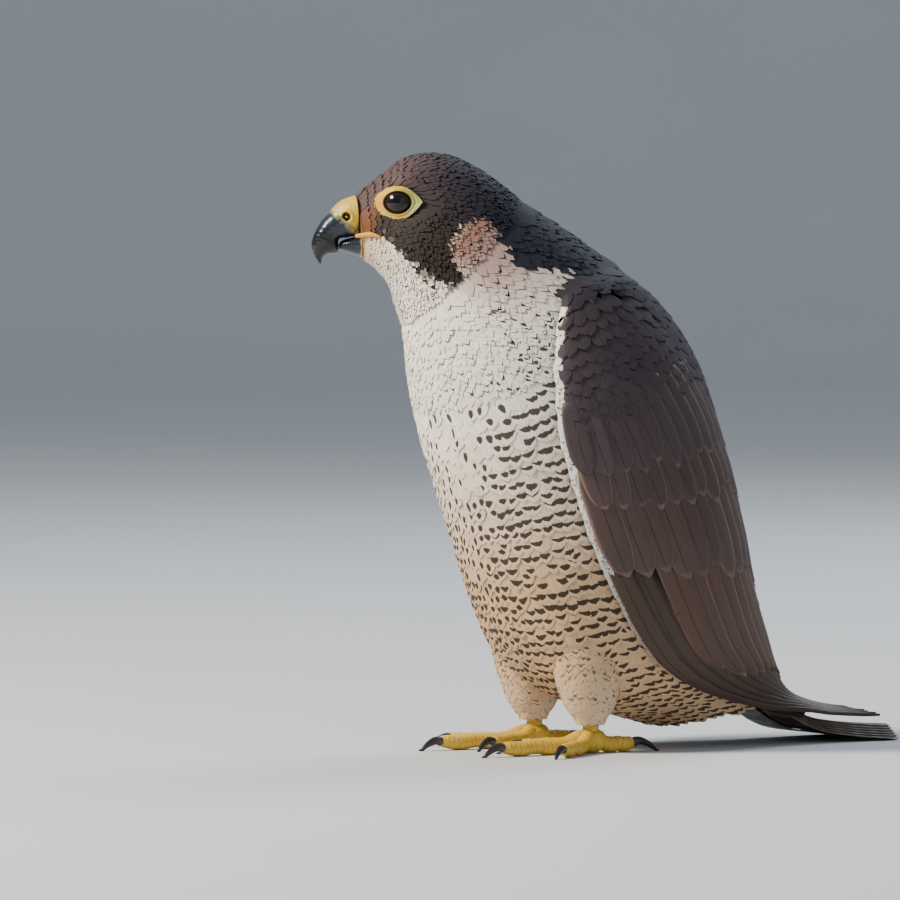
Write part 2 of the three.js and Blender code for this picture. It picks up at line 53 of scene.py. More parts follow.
# Sections of the body from the bill's base to past the wing tips:
# front y, z on the throat side; back y, z; half width; share of the head's turn
STATIONS = np.array([
    (-100.5, 216.5, -104.0, 244.8, 9.8, 1),
    (-97.0, 214.6, -91.6, 254.2, 15.5, 1),
    (-92.8, 210.8, -80, 261.8, 20.5, 1),
    (-88.4, 205, -62, 262.2, 24.4, 1),
    (-86, 196.5, -45, 253.5, 27.0, 0.88),
    (-83.5, 187, -28, 240.5, 30.5, 0.62),
    (-82, 176, -6.5, 227.5, 37.0, 0.32),
    (-80, 163, 15, 212, 45.0, 0.1),
    (-75, 145, 32, 192, 51.5, 0),
    (-67.5, 123, 48.5, 165, 54.5, 0),
    (-58, 98, 60, 134, 55.2, 0),
    (-48, 73, 69.5, 101, 53.4, 0),
    (-34, 47, 77.5, 71, 49.0, 0),
    (-14, 27, 86, 49, 40.0, 0),
    (24, 14, 94, 32, 30.0, 0),
    (62, 5, 104, 19.5, 25.5, 0),
    (98, 2, 122, 12.5, 24.0, 0),
    (128, 1, 143, 9.8, 22.0, 0),
    (152, 0.5, 160, 8.5, 20.0, 0),
])

# Swellings and hollows: station, angle from the throat, height, reach in stations and in degrees
RELIEF = [
    (1.9, 128, 2.2, 0.75, 15),
    (2.0, 99, -2.2, 0.55, 17),
    (2.9, 62, 1.8, 1.0, 24),
    (12.4, 38, 4.5, 1.3, 18),
]

# The folded wing: station, angle of its leading edge, angle of its edge on the back, depth
WING = np.array([
    (6.5, 102, 120, 1.2),
    (6.95, 88, 136, 2.6),
    (7.6, 76, 147, 3.4),
    (8.6, 67, 158, 4.2),
    (9.6, 65, 167, 3.4),
    (10.6, 66, 173, 3.9),
    (11.6, 70, 175.5, 3.5),
    (12.6, 76, 176.8, 3.4),
    (13.6, 87, 177.0, 3.0),
    (14.6, 101, 176.6, 2.0),
    (15.6, 116, 176.0, 1.2),
])
WING_BED = 1.4

# The tail's line from root to tip: y, z
TAIL_LINE = np.array([(76, 48), (85, 30), (97, 15), (113, 6.2), (132, 2.7), (150, 1.1), (165, 0.4)])

# The left thigh: centre x, y, z, half width, half depth, from inside the body to the ankle
THIGH = np.array([
    (20, -10.5, 66, 16, 18),
    (22.5, -10, 50, 16, 17.5),
    (23.5, -8.8, 36, 14.5, 15.5),
    (23.5, -7.8, 22, 10.5, 11.5),
    (23.5, -7.5, 14.6, 6.4, 6.9),
])

rng = np.random.default_rng(7)


def tint(r, g, b):
    """A colour as seen in the photo's light, 0 to 255, made linear."""
    srgb = np.array([r, g, b]) / 255
    return np.where(srgb <= 0.04045, srgb / 12.92, ((srgb + 0.055) / 1.055) ** 2.4)


CREAM = tint(246, 236, 220)
THROAT_WARM = tint(238, 214, 184)
# The lower breast, belly and thighs: their own buff, darkened as painted shade on the lower body.
SHADED_BELLY = tint(202, 168, 130)
EAR_PATCH = tint(142, 98, 80)
# The side of the neck: pale, darkened to lilac grey as painted shade.
SHADED_NECK_SIDE = tint(176, 150, 142)
CROWN = tint(56, 50, 57)
FOREHEAD = tint(92, 74, 73)
CHEEK = tint(54, 46, 43)
CHIN = tint(220, 186, 126)
LORE = tint(164, 104, 52)
MOUSTACHE = tint(40, 30, 22)
NAPE = tint(30, 32, 44)
MANTLE = tint(42, 43, 54)
RUMP = tint(74, 76, 88)
WING_TOP = tint(68, 58, 63)
# The middle and lower wing: the wing's own brown, made lighter and browner as painted warm sunlight.
SUNLIT_WING_MIDDLE = tint(88, 61, 47)
SUNLIT_WING_LOW = tint(108, 77, 57)
PRIMARY = tint(60, 46, 37)
TAIL_BROWN = tint(62, 52, 44)
TAIL_BAR = tint(128, 116, 104)
FRINGE = tint(170, 146, 128)
# The leading edge of the wing: pale feathers, whiter as a painted highlight.
WHITE_EDGE_AND_HIGHLIGHT = tint(238, 232, 224)
MARK = tint(30, 22, 17)
YELLOW = tint(226, 186, 58)
ORANGE = tint(214, 140, 40)
OLIVE = tint(176, 170, 92)


# Curves and surfaces
def through(values, t):
    """A smooth curve through values one step apart, read at t."""
    v = np.asarray(values, float)
    padded = np.concatenate([[2 * v[0] - v[1]], v, [2 * v[-1] - v[-2]]])
    i = np.clip(np.floor(t).astype(int), 0, len(v) - 2)
    f = t - i
    p0, p1, p2, p3 = (padded[i + k] for k in range(4))
    m1, m2, d = (p2 - p0) / 2, (p3 - p1) / 2, p2 - p1
    return p1 + f * (m1 + f * (3 * d - 2 * m1 - m2 + f * (m1 + m2 - 2 * d)))


def columns_at(table, t):
    """Every column of a table whose rows are one step apart, read at t."""
    return (through(table[:, k], t) for k in range(table.shape[1]))


def wing_value(column, t):
    """A column of WING, whose rows stand at stations of their own, read at station t."""
    at = WING[:, 0]
    i = np.clip(np.searchsorted(at, t, side="right") - 1, 0, len(at) - 2)
    f = np.clip((t - at[i]) / (at[i + 1] - at[i]), 0, 1)
    return through(WING[:, column], i + f)


def lerp(a, b, f):
    return a + (b - a) * f


def smooth(lo, hi, x):
    """0 at lo and 1 at hi, smooth between. lo may be the larger."""
    f = np.clip((np.asarray(x, float) - lo) / (hi - lo), 0, 1)
    return f * f * (3 - 2 * f)


def unit(v):
    return v / np.maximum(np.linalg.norm(v, axis=-1, keepdims=True), 1e-9)


def grid(rows, columns):
    """Every pair of a row value and a column value, as two flat arrays."""
    a, b = np.meshgrid(rows, columns, indexing="ij")
    return a.ravel(), b.ravel()


def travelled(line):
    """The length of a line of points up to each of them."""
    return np.concatenate([[0], np.cumsum(np.linalg.norm(np.diff(line, axis=0), axis=1))])


def sided(name, side):
    return name + ("_left" if side > 0 else "_right")


def head_turned(points, share=1.0):
    """Points turned with the head about the neck's upright line."""
    x, y, z = points[..., 0], points[..., 1], points[..., 2]
    a = -HEAD_TURN * share
    c, s = np.cos(a), np.sin(a)
    dy = y - NECK_AXIS_Y
    return np.stack([x * c - dy * s, NECK_AXIS_Y + x * s + dy * c, z], -1)


def loft_point(t, angle):
    fy, fz, by, bz, half, turn = columns_at(STATIONS, t)
    c, s = np.cos(np.radians(angle)), np.sin(np.radians(angle))
    x = half * s
    y = (fy + by) / 2 + (fy - by) / 2 * c
    z = (fz + bz) / 2 + (fz - bz) / 2 * c
    return head_turned(np.stack([x, y, z], -1), turn)


def loft_normal(t, angle):
    step, turn = 0.02, 1.0
    dt = loft_point(t + step, angle) - loft_point(t - step, angle)
    da = loft_point(t, angle + turn) - loft_point(t, angle - turn)
    return unit(np.cross(dt, da))


def folded(angle):
    """Angle from the throat, the same on both sides: 0 to 180."""
    return np.abs((angle + 180) % 360 - 180)


def body_point(t, angle, lift):
    """The feathered surface of the body at station t and angle, and lift outside it."""
    a = folded(angle)
    height = lift + sum(
        h * np.exp(-(((t - rt) / wt) ** 2) - ((a - ra) / wa) ** 2) for rt, ra, h, wt, wa in RELIEF
    )
    return loft_point(t, angle) + loft_normal(t, angle) * np.asarray(height)[..., None]


def station_mm(t, angle):
    """Millimetres along the body for one station, at t and angle."""
    step = 0.05
    ahead = body_point(t + step, angle, 0 * t) - body_point(t, angle, 0 * t)
    return np.linalg.norm(ahead, axis=-1) / step


def wing_angle(t, share):
    return lerp(wing_value(1, t), wing_value(2, t), share)


def wing_depth(t, share):
    belly = np.sin(np.pi * np.clip(0.1 + 0.83 * share, 0, 1)) ** 0.8
    return WING_BED + 0.5 + wing_value(3, t) * belly


def wing_surface(side):
    """The outside of the folded wing by station, share from the leading edge, and lift."""
    def surface(t, f, lift):
        depth = wing_depth(t, np.clip(f, 0, 1)) * smooth(-0.09, 0.03, f)
        depth = depth * lerp(1, smooth(6.2, 6.7, t), t < 6.7)
        return body_point(t, side * wing_angle(t, f), depth + lift)
    return surface


def tail_point(s, x, lift):
    """A point on the tail: share s of its length, x to the side, lift over its line."""
    k = s * (len(TAIL_LINE) - 1)
    step = 0.02
    y, z = columns_at(TAIL_LINE, k)
    y_next, z_next = columns_at(TAIL_LINE, k + step)
    y_last, z_last = columns_at(TAIL_LINE, k - step)
    ty, tz = y_next - y_last, z_next - z_last
    reach = np.hypot(ty, tz)
    return np.stack([x, y - tz / reach * lift, z + ty / reach * lift], -1)


def thigh_point(t, angle, lift, side):
    x, y, z, wide, deep = columns_at(THIGH, t)
    a = np.radians(angle)
    px = x + (wide + lift) * np.sin(a)
    py = y - (deep + lift) * np.cos(a)
    return np.stack([side * px, py, z + 0 * a], -1)


def mm_shift():
    """How far the CAD model's origin moved the bird's own frame along y, from one eye's place."""
    low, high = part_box("eye_left")
    middle_mm = (low.y + high.y) / 2 * 1000
    return np.array([0.0, middle_mm - head_turned(EYE_AT)[1], 0.0])


SHIFT = mm_shift()


def to_metres(points):
    return (np.asarray(points, float) + SHIFT) * 0.001


# Meshes. Faces are a pair: the corner indices of all faces in turn, and each face's size.
def first_corners(sizes):
    return np.concatenate([[0], np.cumsum(sizes)[:-1]])


def outward(points, faces):
    """The faces turned so that the closed bodies they bound face out."""
    loops, sizes = faces
    starts = first_corners(sizes)
    corners = {k: starts[sizes == k][:, None] + np.arange(k) for k in np.unique(sizes)}
    volume = 0.0
    for k, at in corners.items():
        p = points[loops[at]]
        for i in range(1, k - 1):
            volume += (p[:, 0] * np.cross(p[:, i], p[:, i + 1])).sum()
    if volume > 0:
        return loops, sizes
    turned_round = loops.copy()
    for at in corners.values():
        turned_round[at] = loops[at[:, ::-1]]
    return turned_round, sizes


def linked(name, data):
    """A new object in the scene."""
    made = bpy.data.objects.new(name, data)
    bpy.context.scene.collection.objects.link(made)
    return made


def new_piece(name, points, faces, node, slot, soft=None):
    """A mesh object from points in mm, standing for CAD nodes.
    soft says which faces are shaded smooth, and all are where it is left out."""
    loops, sizes = outward(points, faces)
    mesh = bpy.data.meshes.new(name)
    mesh.vertices.add(len(points))
    mesh.vertices.foreach_set("co", to_metres(points).astype(np.float32).ravel())
    mesh.loops.add(len(loops))
    mesh.loops.foreach_set("vertex_index", loops.astype(np.int32))
    mesh.polygons.add(len(sizes))
    mesh.polygons.foreach_set("loop_start", first_corners(sizes).astype(np.int32))
    mesh.polygons.foreach_set("use_smooth", np.full(len(sizes), True) if soft is None else soft)
    mesh.update(calc_edges=True)
    piece = linked(name, mesh)
    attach(piece, "root")
    if node:
        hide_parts(*node)
    return piece


def dress(piece, uv, material, **values):
    """Gives a piece its material, its OFBake map and named attributes, all with a row a point.
    An attribute whose rows have four numbers is a colour, and the others are vectors."""
    for name, rows in values.items():
        rows = np.asarray(rows, np.float32)
        kind, key = ("FLOAT_COLOR", "color") if rows.shape[-1] == 4 else ("FLOAT_VECTOR", "vector")
        attribute = piece.data.attributes.new(name, kind, "POINT")
        attribute.data.foreach_set(key, rows.ravel())
    layer = piece.data.uv_layers.new(name="OFBake")
    corners = np.empty(len(piece.data.loops), np.int32)
    piece.data.loops.foreach_get("vertex_index", corners)
    layer.data.foreach_set("uv", np.asarray(uv, np.float32)[corners].ravel())
    piece.data.materials.append(material)
    return piece


def ring_faces(rings, width, copies=1):
    """Faces for copies of a strip of rings, with both ends capped."""
    i = np.arange(rings - 1)[:, None]
    j = np.arange(width)[None, :]
    a = i * width + j
    b = i * width + (j + 1) % width
    quads = np.stack([a, b, b + width, a + width], -1).reshape(-1, 4)
    first = np.arange(width)[::-1]
    last = (rings - 1) * width + np.arange(width)
    one = np.concatenate([quads.ravel(), first, last])
    sizes = np.concatenate([np.full(len(quads), 4), [width, width]])
    shift = (np.arange(copies) * rings * width)[:, None]
    return (one[None, :] + shift).ravel(), np.tile(sizes, copies)


def top_faces(rings, width, top, copies):
    """True for the faces of ring_faces that lie between the first points of each ring."""
    one = np.concatenate([np.tile(np.arange(width) < top, rings - 1), [False, False]])
    return np.tile(one, copies)


def joined(bodies):
    """The points and faces of several bodies, each given as its points and its rings and width."""
    loops, sizes, total = [], [], 0
    for points, shape in bodies:
        part_loops, part_sizes = outward(points, ring_faces(*shape))
        loops.append(part_loops + total)
        sizes.append(part_sizes)
        total += len(points)
    return np.concatenate([points for points, _ in bodies]), (np.concatenate(loops), np.concatenate(sizes))


def rgba(rgb):
    return np.concatenate([rgb, np.ones(rgb.shape[:-1] + (1,))], -1)


# Edges of the markings. HOOD_FRONT and NAPE_EDGE have an angle from the throat for each station,
# HOOD_REAR and MARKS_FROM a station for each angle.
HOOD_FRONT = np.array([(0, 72), (0.94, 66), (2, 60), (3.03, 54), (4.21, 58), (4.74, 65), (4.95, 74)])
HOOD_REAR = np.array([
    (60, 5.2), (70, 4.95), (76, 4.74), (79, 4.2), (90, 3.92), (100, 3.95), (112, 4.16), (120, 4.3),
])
NAPE_EDGE = np.array([(4.0, 122), (4.41, 118), (4.87, 110), (5.37, 102), (5.83, 112), (6.2, 116), (6.9, 118)])
MARKS_FROM = np.array([(0, 7.75), (20, 7.5), (33, 7.1), (56, 5.9), (75, 5.4), (110, 5.4)])
MOUSTACHE_END = 5.2
OUTSIDE = -9


def edge(rows, x):
    return np.interp(x, rows[:, 0], rows[:, 1])


def hood_mask(t, a, wander=0.0):
    """1 on the dark hood and back, 0 on the throat, the neck's side and the breast."""
    front = (a - edge(HOOD_FRONT, t)) * 0.38 + wander
    rear = (edge(HOOD_REAR, a) - t) * 11 + wander
    nape = (a - edge(NAPE_EDGE, t)) * 0.5 + wander
    moustache = np.where(t < MOUSTACHE_END, np.minimum(front, rear), OUTSIDE)
    return smooth(-0.8, 0.8, np.maximum(moustache, nape))


def blend(stops, x):
    """A colour read from (place, colour) stops."""
    places = [p for p, _ in stops]
    colours = np.array([c for _, c in stops])
    return np.stack([np.interp(x, places, colours[:, k]) for k in range(3)], -1)


TOP_STOPS = [(0, FOREHEAD), (1.6, FOREHEAD), (3, CROWN), (4.6, NAPE), (7, MANTLE), (11, MANTLE), (13, RUMP)]
CHEEK_STOPS = [(0, CHEEK), (3.0, CHEEK), (4.6, MOUSTACHE)]
# From the breast down the front turns darker brown, partly painted shade.
FRONT_STOPS = [(0, CHIN), (0.7, THROAT_WARM), (3, CREAM), (8, CREAM), (11, SHADED_BELLY), (14, SHADED_BELLY)]
# Past the ear patch, the neck's side is a lilac grey band of painted shade before the cream breast.
SIDE_STOPS = [(4.0, EAR_PATCH), (5.2, SHADED_NECK_SIDE), (7, CREAM)]
MANTLE_STOPS = [(6.5, MANTLE), (11, MANTLE), (13, RUMP)]
# The thighs carry the belly's painted shade, paler toward the ankle.
THIGH_STOPS = [(0.9, SHADED_BELLY), (3.8, lerp(SHADED_BELLY, CREAM, 0.4))]
# The lighter brown of the middle and lower wing is partly painted warm sunlight.
WING_STOPS = [(6.5, WING_TOP), (8.0, WING_TOP), (11.0, SUNLIT_WING_MIDDLE), (13, SUNLIT_WING_LOW), (16, PRIMARY)]


def coat_colour(t, angle, wander=0.0):
    """The ground colour of the plumage, by station and by angle from the throat."""
    a = folded(angle)
    low = smooth(128, 88, a)[..., None] * smooth(5.4, 4.4, t)[..., None]
    dark = lerp(blend(TOP_STOPS, t), blend(CHEEK_STOPS, t), low)
    lore = smooth(1.2, 0.2, t) * smooth(45, 70, a) * smooth(128, 100, a)
    dark = lerp(dark, LORE, 0.5 * lore[..., None])
    side = smooth(55, 90, a)[..., None] * smooth(3.6, 4.2, t)[..., None] * smooth(7.4, 5.2, t)[..., None]
    pale = lerp(blend(FRONT_STOPS, t), blend(SIDE_STOPS, t), side)
    return lerp(pale, dark, hood_mask(t, a, wander)[..., None])


def wing_tone(t, at, dark=0.0):
    """The colour of the folded wing, browner to its tip and nearer the mantle's on the back; the lighter
    brown of its middle and lower parts is partly painted warm sunlight.
    """
    base = lerp(blend(WING_STOPS, t), PRIMARY, dark)
    toward_back = smooth(0.6, 1.0, at)[..., None]
    return lerp(base, MANTLE, toward_back * 0.6)


def feather_marks(t, angle, often):
    """For each feather: half width and half length of its mark, and how strong it is.
    often is the share of the feathers that can bear one."""
    a = folded(angle)
    n = len(t)
    age = t - edge(MARKS_FROM, a)
    bar = smooth(14, 50, a + (t - 8.6) * 9) * smooth(0.5, 2.0, age)
    wide = lerp(0.26, 0.86, bar) * rng.uniform(0.75, 1.2, n)
    long = lerp(0.115, 0.07, bar) * rng.uniform(0.8, 1.25, n)
    chance = lerp(0.3, 0.97, smooth(0.0, 2.4, age))
    strong = smooth(-0.1, 0.2, age) * (rng.random(n) < chance * often) * (1 - hood_mask(t, a))
    return np.stack([wide, long, strong], -1)


def no_marks(n):
    """Marks of no strength, for plain feathers."""
    return np.tile([0.0, 0.1, 0.0], (n, 1))


# Half the width, and the length, of one feather's patch on the bake map
FEATHER_PATCH = (0.0015, 0.003)


def skin_patch(t, angle):
    return np.stack([0.02 + 0.96 * ((angle + 180) % 360) / 360, 0.02 + 0.94 * t / 18.5], -1)


def wing_patch(t, f):
    return np.stack([0.03 + 0.94 * f, 0.03 + 0.9 * (t - 6) / 12], -1)


# Feathers
SETTLE = 0.7  # how far the shading of a body feather follows the body under it
BLUNT = 0.5  # share of a body feather that rounds off to its tip
TIP_LEFT = 0.004


def round_end(s, share, power):
    """How a vane narrows over the last share of its length."""
    end = np.clip((s - 1 + share) / share, 0, 1)
    return np.sqrt(np.maximum(1 - end**power, TIP_LEFT))


def column(x):
    """One value for each feather, ready to spread over its points."""
    return np.asarray(x)[:, None, None]


def grid_normals(points):
    return unit(np.cross(np.gradient(points, axis=1), np.gradient(points, axis=2)))


def in_rows(rows):
    """The stations and places across of all roots, from a pair of them for each row."""
    return np.concatenate([np.stack(np.broadcast_arrays(t, at), -1) for t, at in rows]).T


def settled_normals(points, flat, above):
    """Normals of feathers leant to the flat body under them. above is a step outside it."""
    own, under = grid_normals(points), grid_normals(flat)
    own = own * np.sign((own * under).sum(-1, keepdims=True) + 1e-9)
    facing = np.sign((under * (above - flat)).sum(-1, keepdims=True))
    return unit(lerp(own, under, SETTLE) * facing)


def lay_feathers(surface, t0, a0, size, lean, rise, quads, reach=1.0):
    """Feathers rooted at t0, a0 on a surface: points, quill values, normals and shape of rings.
    size is length, width and arch as a share of the width, rise is the lift at root and tip, quads are
    the faces along and across, and reach is a small step in a."""
    length, width, arch_share = size
    n = len(t0)
    step = 0.05
    lean = rng.normal(0, lean, n)
    along_t = surface(t0 + step, a0, 0 * t0) - surface(t0 - step, a0, 0 * t0)
    along_a = surface(t0, a0 + reach, 0 * t0) - surface(t0, a0 - reach, 0 * t0)
    mm_t = np.linalg.norm(along_t, axis=-1) / (2 * step)
    mm_a = np.linalg.norm(along_a, axis=-1) / (2 * reach)
    s = np.linspace(0, 1, quads[0] + 1)[None, :, None]
    v = np.linspace(-1, 1, quads[1] + 1)[None, None, :]
    outline = (0.35 + 0.65 * smooth(0, 0.4, s)) * round_end(s, BLUNT, 2.0)
    ahead = s * column(length) + 0 * v
    aside = v * column(width) * 0.5 * outline
    aside = aside + column(rng.normal(0, 0.06, n) * length) * s**2
    c, k = np.cos(column(lean)), np.sin(column(lean))
    t = column(t0) + (ahead * c - aside * k) / column(mm_t)
    a = column(a0) + (ahead * k + aside * c) / column(mm_a)
    low, high = rise
    roll = column(rng.normal(0, 0.05, n))
    arch = column(width * arch_share) * (1 - v**2) * outline
    lift = lerp(column(low), column(high), s**0.75) + arch + roll * v

    def at_lift(height):
        return surface(t.ravel(), a.ravel(), height.ravel()).reshape(t.shape + (3,))

    points = at_lift(lift)
    normals = settled_normals(points, at_lift(0 * t), at_lift(0 * t + 1))
    quill = np.stack(np.broadcast_arrays(s, v, column(rng.random(n))), -1)
    shape = (quads[0] + 1, quads[1] + 1, quads[1])
    return points.reshape(-1, 3), quill.reshape(-1, 3), normals.reshape(-1, 3), shape


def feather_piece(name, laid, looks, slot, material, node=()):
    """One object of many feathers. looks has a row a feather: coat, marks and its root's uv."""
    points, quill, normals, (rings, width, top) = laid
    per = rings * width
    count = len(points) // per
    soft = top_faces(rings, width, top, count)
    piece = new_piece(name, points, ring_faces(rings, width, count), node, slot, soft)
    coat, marks, patch = (np.repeat(rows, per, 0) for rows in looks)
    uv = patch + quill[:, 1::-1] * FEATHER_PATCH
    dress(piece, uv, material, quill=quill, coat=rgba(coat), mark=marks)
    if normals is not None:
        piece.data.normals_split_custom_set_from_vertices(normals.astype(np.float32))
    return piece


# Rows of body feathers: from station, to station, gap of the rows in mm on the breast side,
# gap across, length and width of a feather, and its quads along and across
HEAD_ROWS = (0.06, 4.5, 1.15, 1.35, 5.0, 2.3, (4, 2))
NECK_ROWS = (4.5, 7.3, 1.9, 2.3, 9.5, 4.2, (5, 2))
BREAST_ROWS = (7.3, 14.2, 5.6, 4.9, 15.0, 8.6, (8, 4))
THROAT_ANGLE = 12.0  # where the gaps of the rows are measured
RING_STEPS = 73


def row_roots(rows):
    """Staggered roots of feathers over the body, from rows that keep a gap on the throat side."""
    t, stop, row_gap, side_gap = rows[:4]
    made = []
    shift = 0.0
    turn = np.linspace(0, 360, RING_STEPS)
    while t < stop:
        travel = travelled(body_point(np.full(RING_STEPS, t), turn, 0 * turn))
        count = max(10, int(travel[-1] / side_gap))
        at = (np.arange(count) + shift) / count * travel[-1]
        made.append((t, np.interp(at, travel, turn)))
        shift = 0.5 - shift
        t += row_gap / station_mm(np.array(t), np.array(THROAT_ANGLE))
    return in_rows(made)


# The bare ring round the eye: its reach each way, and how pointed it is ahead and behind
EYE_AHEAD, EYE_BEHIND, EYE_OVER, EYE_UNDER = 10.8, 10.6, 6.6, 7.4
EYE_CORNER = (1.1, 2.0)
FAR_FROM_EYE = 9


def eye_distance(t, angle):
    """How far a place on the head is from the nearer eye's ring, in shares of the ring's size."""
    side = np.where(((angle + 360) % 360) < 180, 1.0, -1.0)
    eye = head_turned(np.stack([side * EYE_AT[0], EYE_AT[1] + 0 * t, EYE_AT[2] + 0 * t], -1))
    ahead = head_turned(np.array([0, NECK_AXIS_Y - 1, 0])) - head_turned(np.array([0, NECK_AXIS_Y, 0]))
    d = body_point(t, angle, 0.0 * t) - eye
    forward = (d * ahead).sum(-1)
    up = d[..., 2]
    flat = np.abs(forward) / np.where(forward > 0, EYE_AHEAD, EYE_BEHIND)
    level = np.abs(up) / np.where(up > 0, EYE_OVER, EYE_UNDER)
    corner = np.where(forward > 0, *EYE_CORNER)
    return np.where(t < 4, np.sqrt(flat**2 + level ** (2 / corner)), FAR_FROM_EYE)


def coat_depth(t):
    return lerp(COAT_AT_BILL, COAT, smooth(0.0, 5.0, t))


def body_feathers(name, rows, material, side=0):
    """The coat of one length of the body, or of its left or right half."""
    t0, a0 = row_roots(rows)
    a0 = a0 % 360
    if side:
        half = (a0 < 180) == (side > 0)
        t0, a0 = t0[half], a0[half]
    n = len(t0)
    t0 = t0 + rng.normal(0, 0.02, n)
    a0 = a0 + rng.normal(0, 0.4, n)
    a = folded(a0)
    local = station_mm(t0, a0)
    stretch = np.clip(local / station_mm(t0, 0 * a0 + THROAT_ANGLE), 1, 1.9)
    face = smooth(2.2, 0.2, t0)
    length = rows[4] * stretch**0.8 * rng.uniform(0.9, 1.1, n) * lerp(1, 0.6, face)
    width = rows[5] * stretch**0.35 * rng.uniform(0.9, 1.1, n) * lerp(1, 0.75, face)
    under_wing = (t0 > 7.3) & (a > wing_angle(t0, 0.1)) & (a < wing_angle(t0, 0.88))
    keep = ~under_wing & (eye_distance(t0, a0) > 1.0)
    for _ in range(4):
        length = length * np.where(eye_distance(t0 + length / local, a0) < 0.95, 0.7, 1.0)
    keep &= eye_distance(t0 + length / local, a0) > 0.9
    t0, a0, length, width, local = (x[keep] for x in (t0, a0, length, width, local))
    n = len(t0)
    rise = (-coat_depth(t0), 0.3 + rng.normal(0, 0.09, n))
    laid = lay_feathers(body_point, t0, a0, (length, width, 0.06), 0.07, rise, rows[6])
    tip = t0 + 0.7 * length / local
    colour = coat_colour(tip, a0, rng.normal(0, 0.8, n)) * rng.uniform(0.93, 1.05, (n, 1))
    barred = rows is BREAST_ROWS
    marks = feather_marks(tip, a0, 1.0 if barred else 0.4)
    slot = "barred_plumage" if barred else "slate_plumage"
    return feather_piece(name, laid, (colour, marks, skin_patch(t0, a0)), slot, material)


# The skin: rings and points of each body of flesh, how deep it lies, and how dark it is
BODY_RINGS, WING_RINGS, THIGH_RINGS = (150, 96), (60, 32), (24, 32)
SKIN_END = 14.6
WING_FLESH = (7.15, 15.6)
WING_COAT, WING_UNDERSIDE, THIGH_COAT = 0.9, 0.2, 1.6
BODY_SHADE, WING_SHADE, THIGH_SHADE = 0.8, 0.45, 0.75


def turns(sides):
    return np.arange(sides) * 360 / sides


def body_flesh():
    t, a = grid(np.linspace(0.0, SKIN_END, BODY_RINGS[0]), turns(BODY_RINGS[1]))
    points = body_point(t, a, -coat_depth(t))
    return points, BODY_RINGS, coat_colour(t, a) * BODY_SHADE, skin_patch(t, a)


def wing_flesh(side):
    """The flesh between the body and the wing's feathers: out over it and back under it."""
    rings, width = WING_RINGS
    out = np.linspace(0.03, 0.97, width // 2)
    t, share = grid(np.linspace(*WING_FLESH, rings), np.concatenate([out, out[::-1]]))
    outer = np.tile(np.arange(width) < len(out), rings)
    lift = np.where(outer, wing_depth(t, share) - WING_COAT, WING_UNDERSIDE)
    angle = side * wing_angle(t, share)
    coat = np.tile(SUNLIT_WING_LOW * WING_SHADE, (len(t), 1))
    return body_point(t, angle, lift), WING_RINGS, coat, skin_patch(t, angle % 360)


def thigh_flesh(side):
    t, a = grid(np.linspace(0, len(THIGH) - 1, THIGH_RINGS[0]), turns(THIGH_RINGS[1]))
    coat = np.tile(SHADED_BELLY * THIGH_SHADE, (len(t), 1))
    patch = skin_patch(12 + 0.4 * t, (side * 40 + a * 0.1) % 360)
    return thigh_point(t, a, -THIGH_COAT, side), THIGH_RINGS, coat, patch


def body_skin(material):
    """The one skin under all feathers: the body's loft with the flesh of wings and thighs."""
    parts = [body_flesh()]
    for side in (1, -1):
        parts += [wing_flesh(side), thigh_flesh(side)]
    points, faces = joined([part[:2] for part in parts])
    coat, patch = (np.concatenate([part[k] for part in parts]) for k in (2, 3))
    nodes = ("head", "neck", "torso", "thigh_left", "thigh_right")
    piece = new_piece("skin", points, faces, nodes, "slate_plumage")
    return dress(piece, patch, material, coat=rgba(coat))


def thigh_feathers(side, material):
    rows = []
    for i, t in enumerate(np.arange(0.7, 3.74, 0.13)):
        count = int(44 * lerp(1.0, 0.62, smooth(2, 4, t)))
        rows.append((t, (np.arange(count) + 0.5 * (i % 2)) * 360 / count))
    t0, a0 = in_rows(rows)
    n = len(t0)
    t0 = t0 + rng.normal(0, 0.03, n)
    a0 = a0 + rng.normal(0, 1.5, n)

    def surface(t, a, lift):
        return thigh_point(np.minimum(t, 4.25), a, lift, side)

    shrink = smooth(2.4, 3.8, t0)
    length = rng.uniform(11, 14, n) * lerp(1, 0.55, shrink)
    width = rng.uniform(4.6, 5.8, n) * lerp(1, 0.75, shrink)
    rise = (np.full(n, -1.4), 0.4 + rng.normal(0, 0.12, n))
    laid = lay_feathers(surface, t0, a0, (length, width, 0.05), 0.06, rise, (6, 2))
    colour = blend(THIGH_STOPS, t0) * rng.uniform(0.93, 1.06, (n, 1))
    marked = rng.random(n) < 0.5
    marks = np.stack([np.full(n, 0.6), np.full(n, 0.06), smooth(2.6, 1.0, t0) * 0.8 * marked], -1)
    looks = (colour, marks, skin_patch(12 + 0.4 * t0, (side * (20 + a0 * 0.12)) % 360))
    return feather_piece(sided("thigh_feathers", side), laid, looks, "barred_plumage", material)


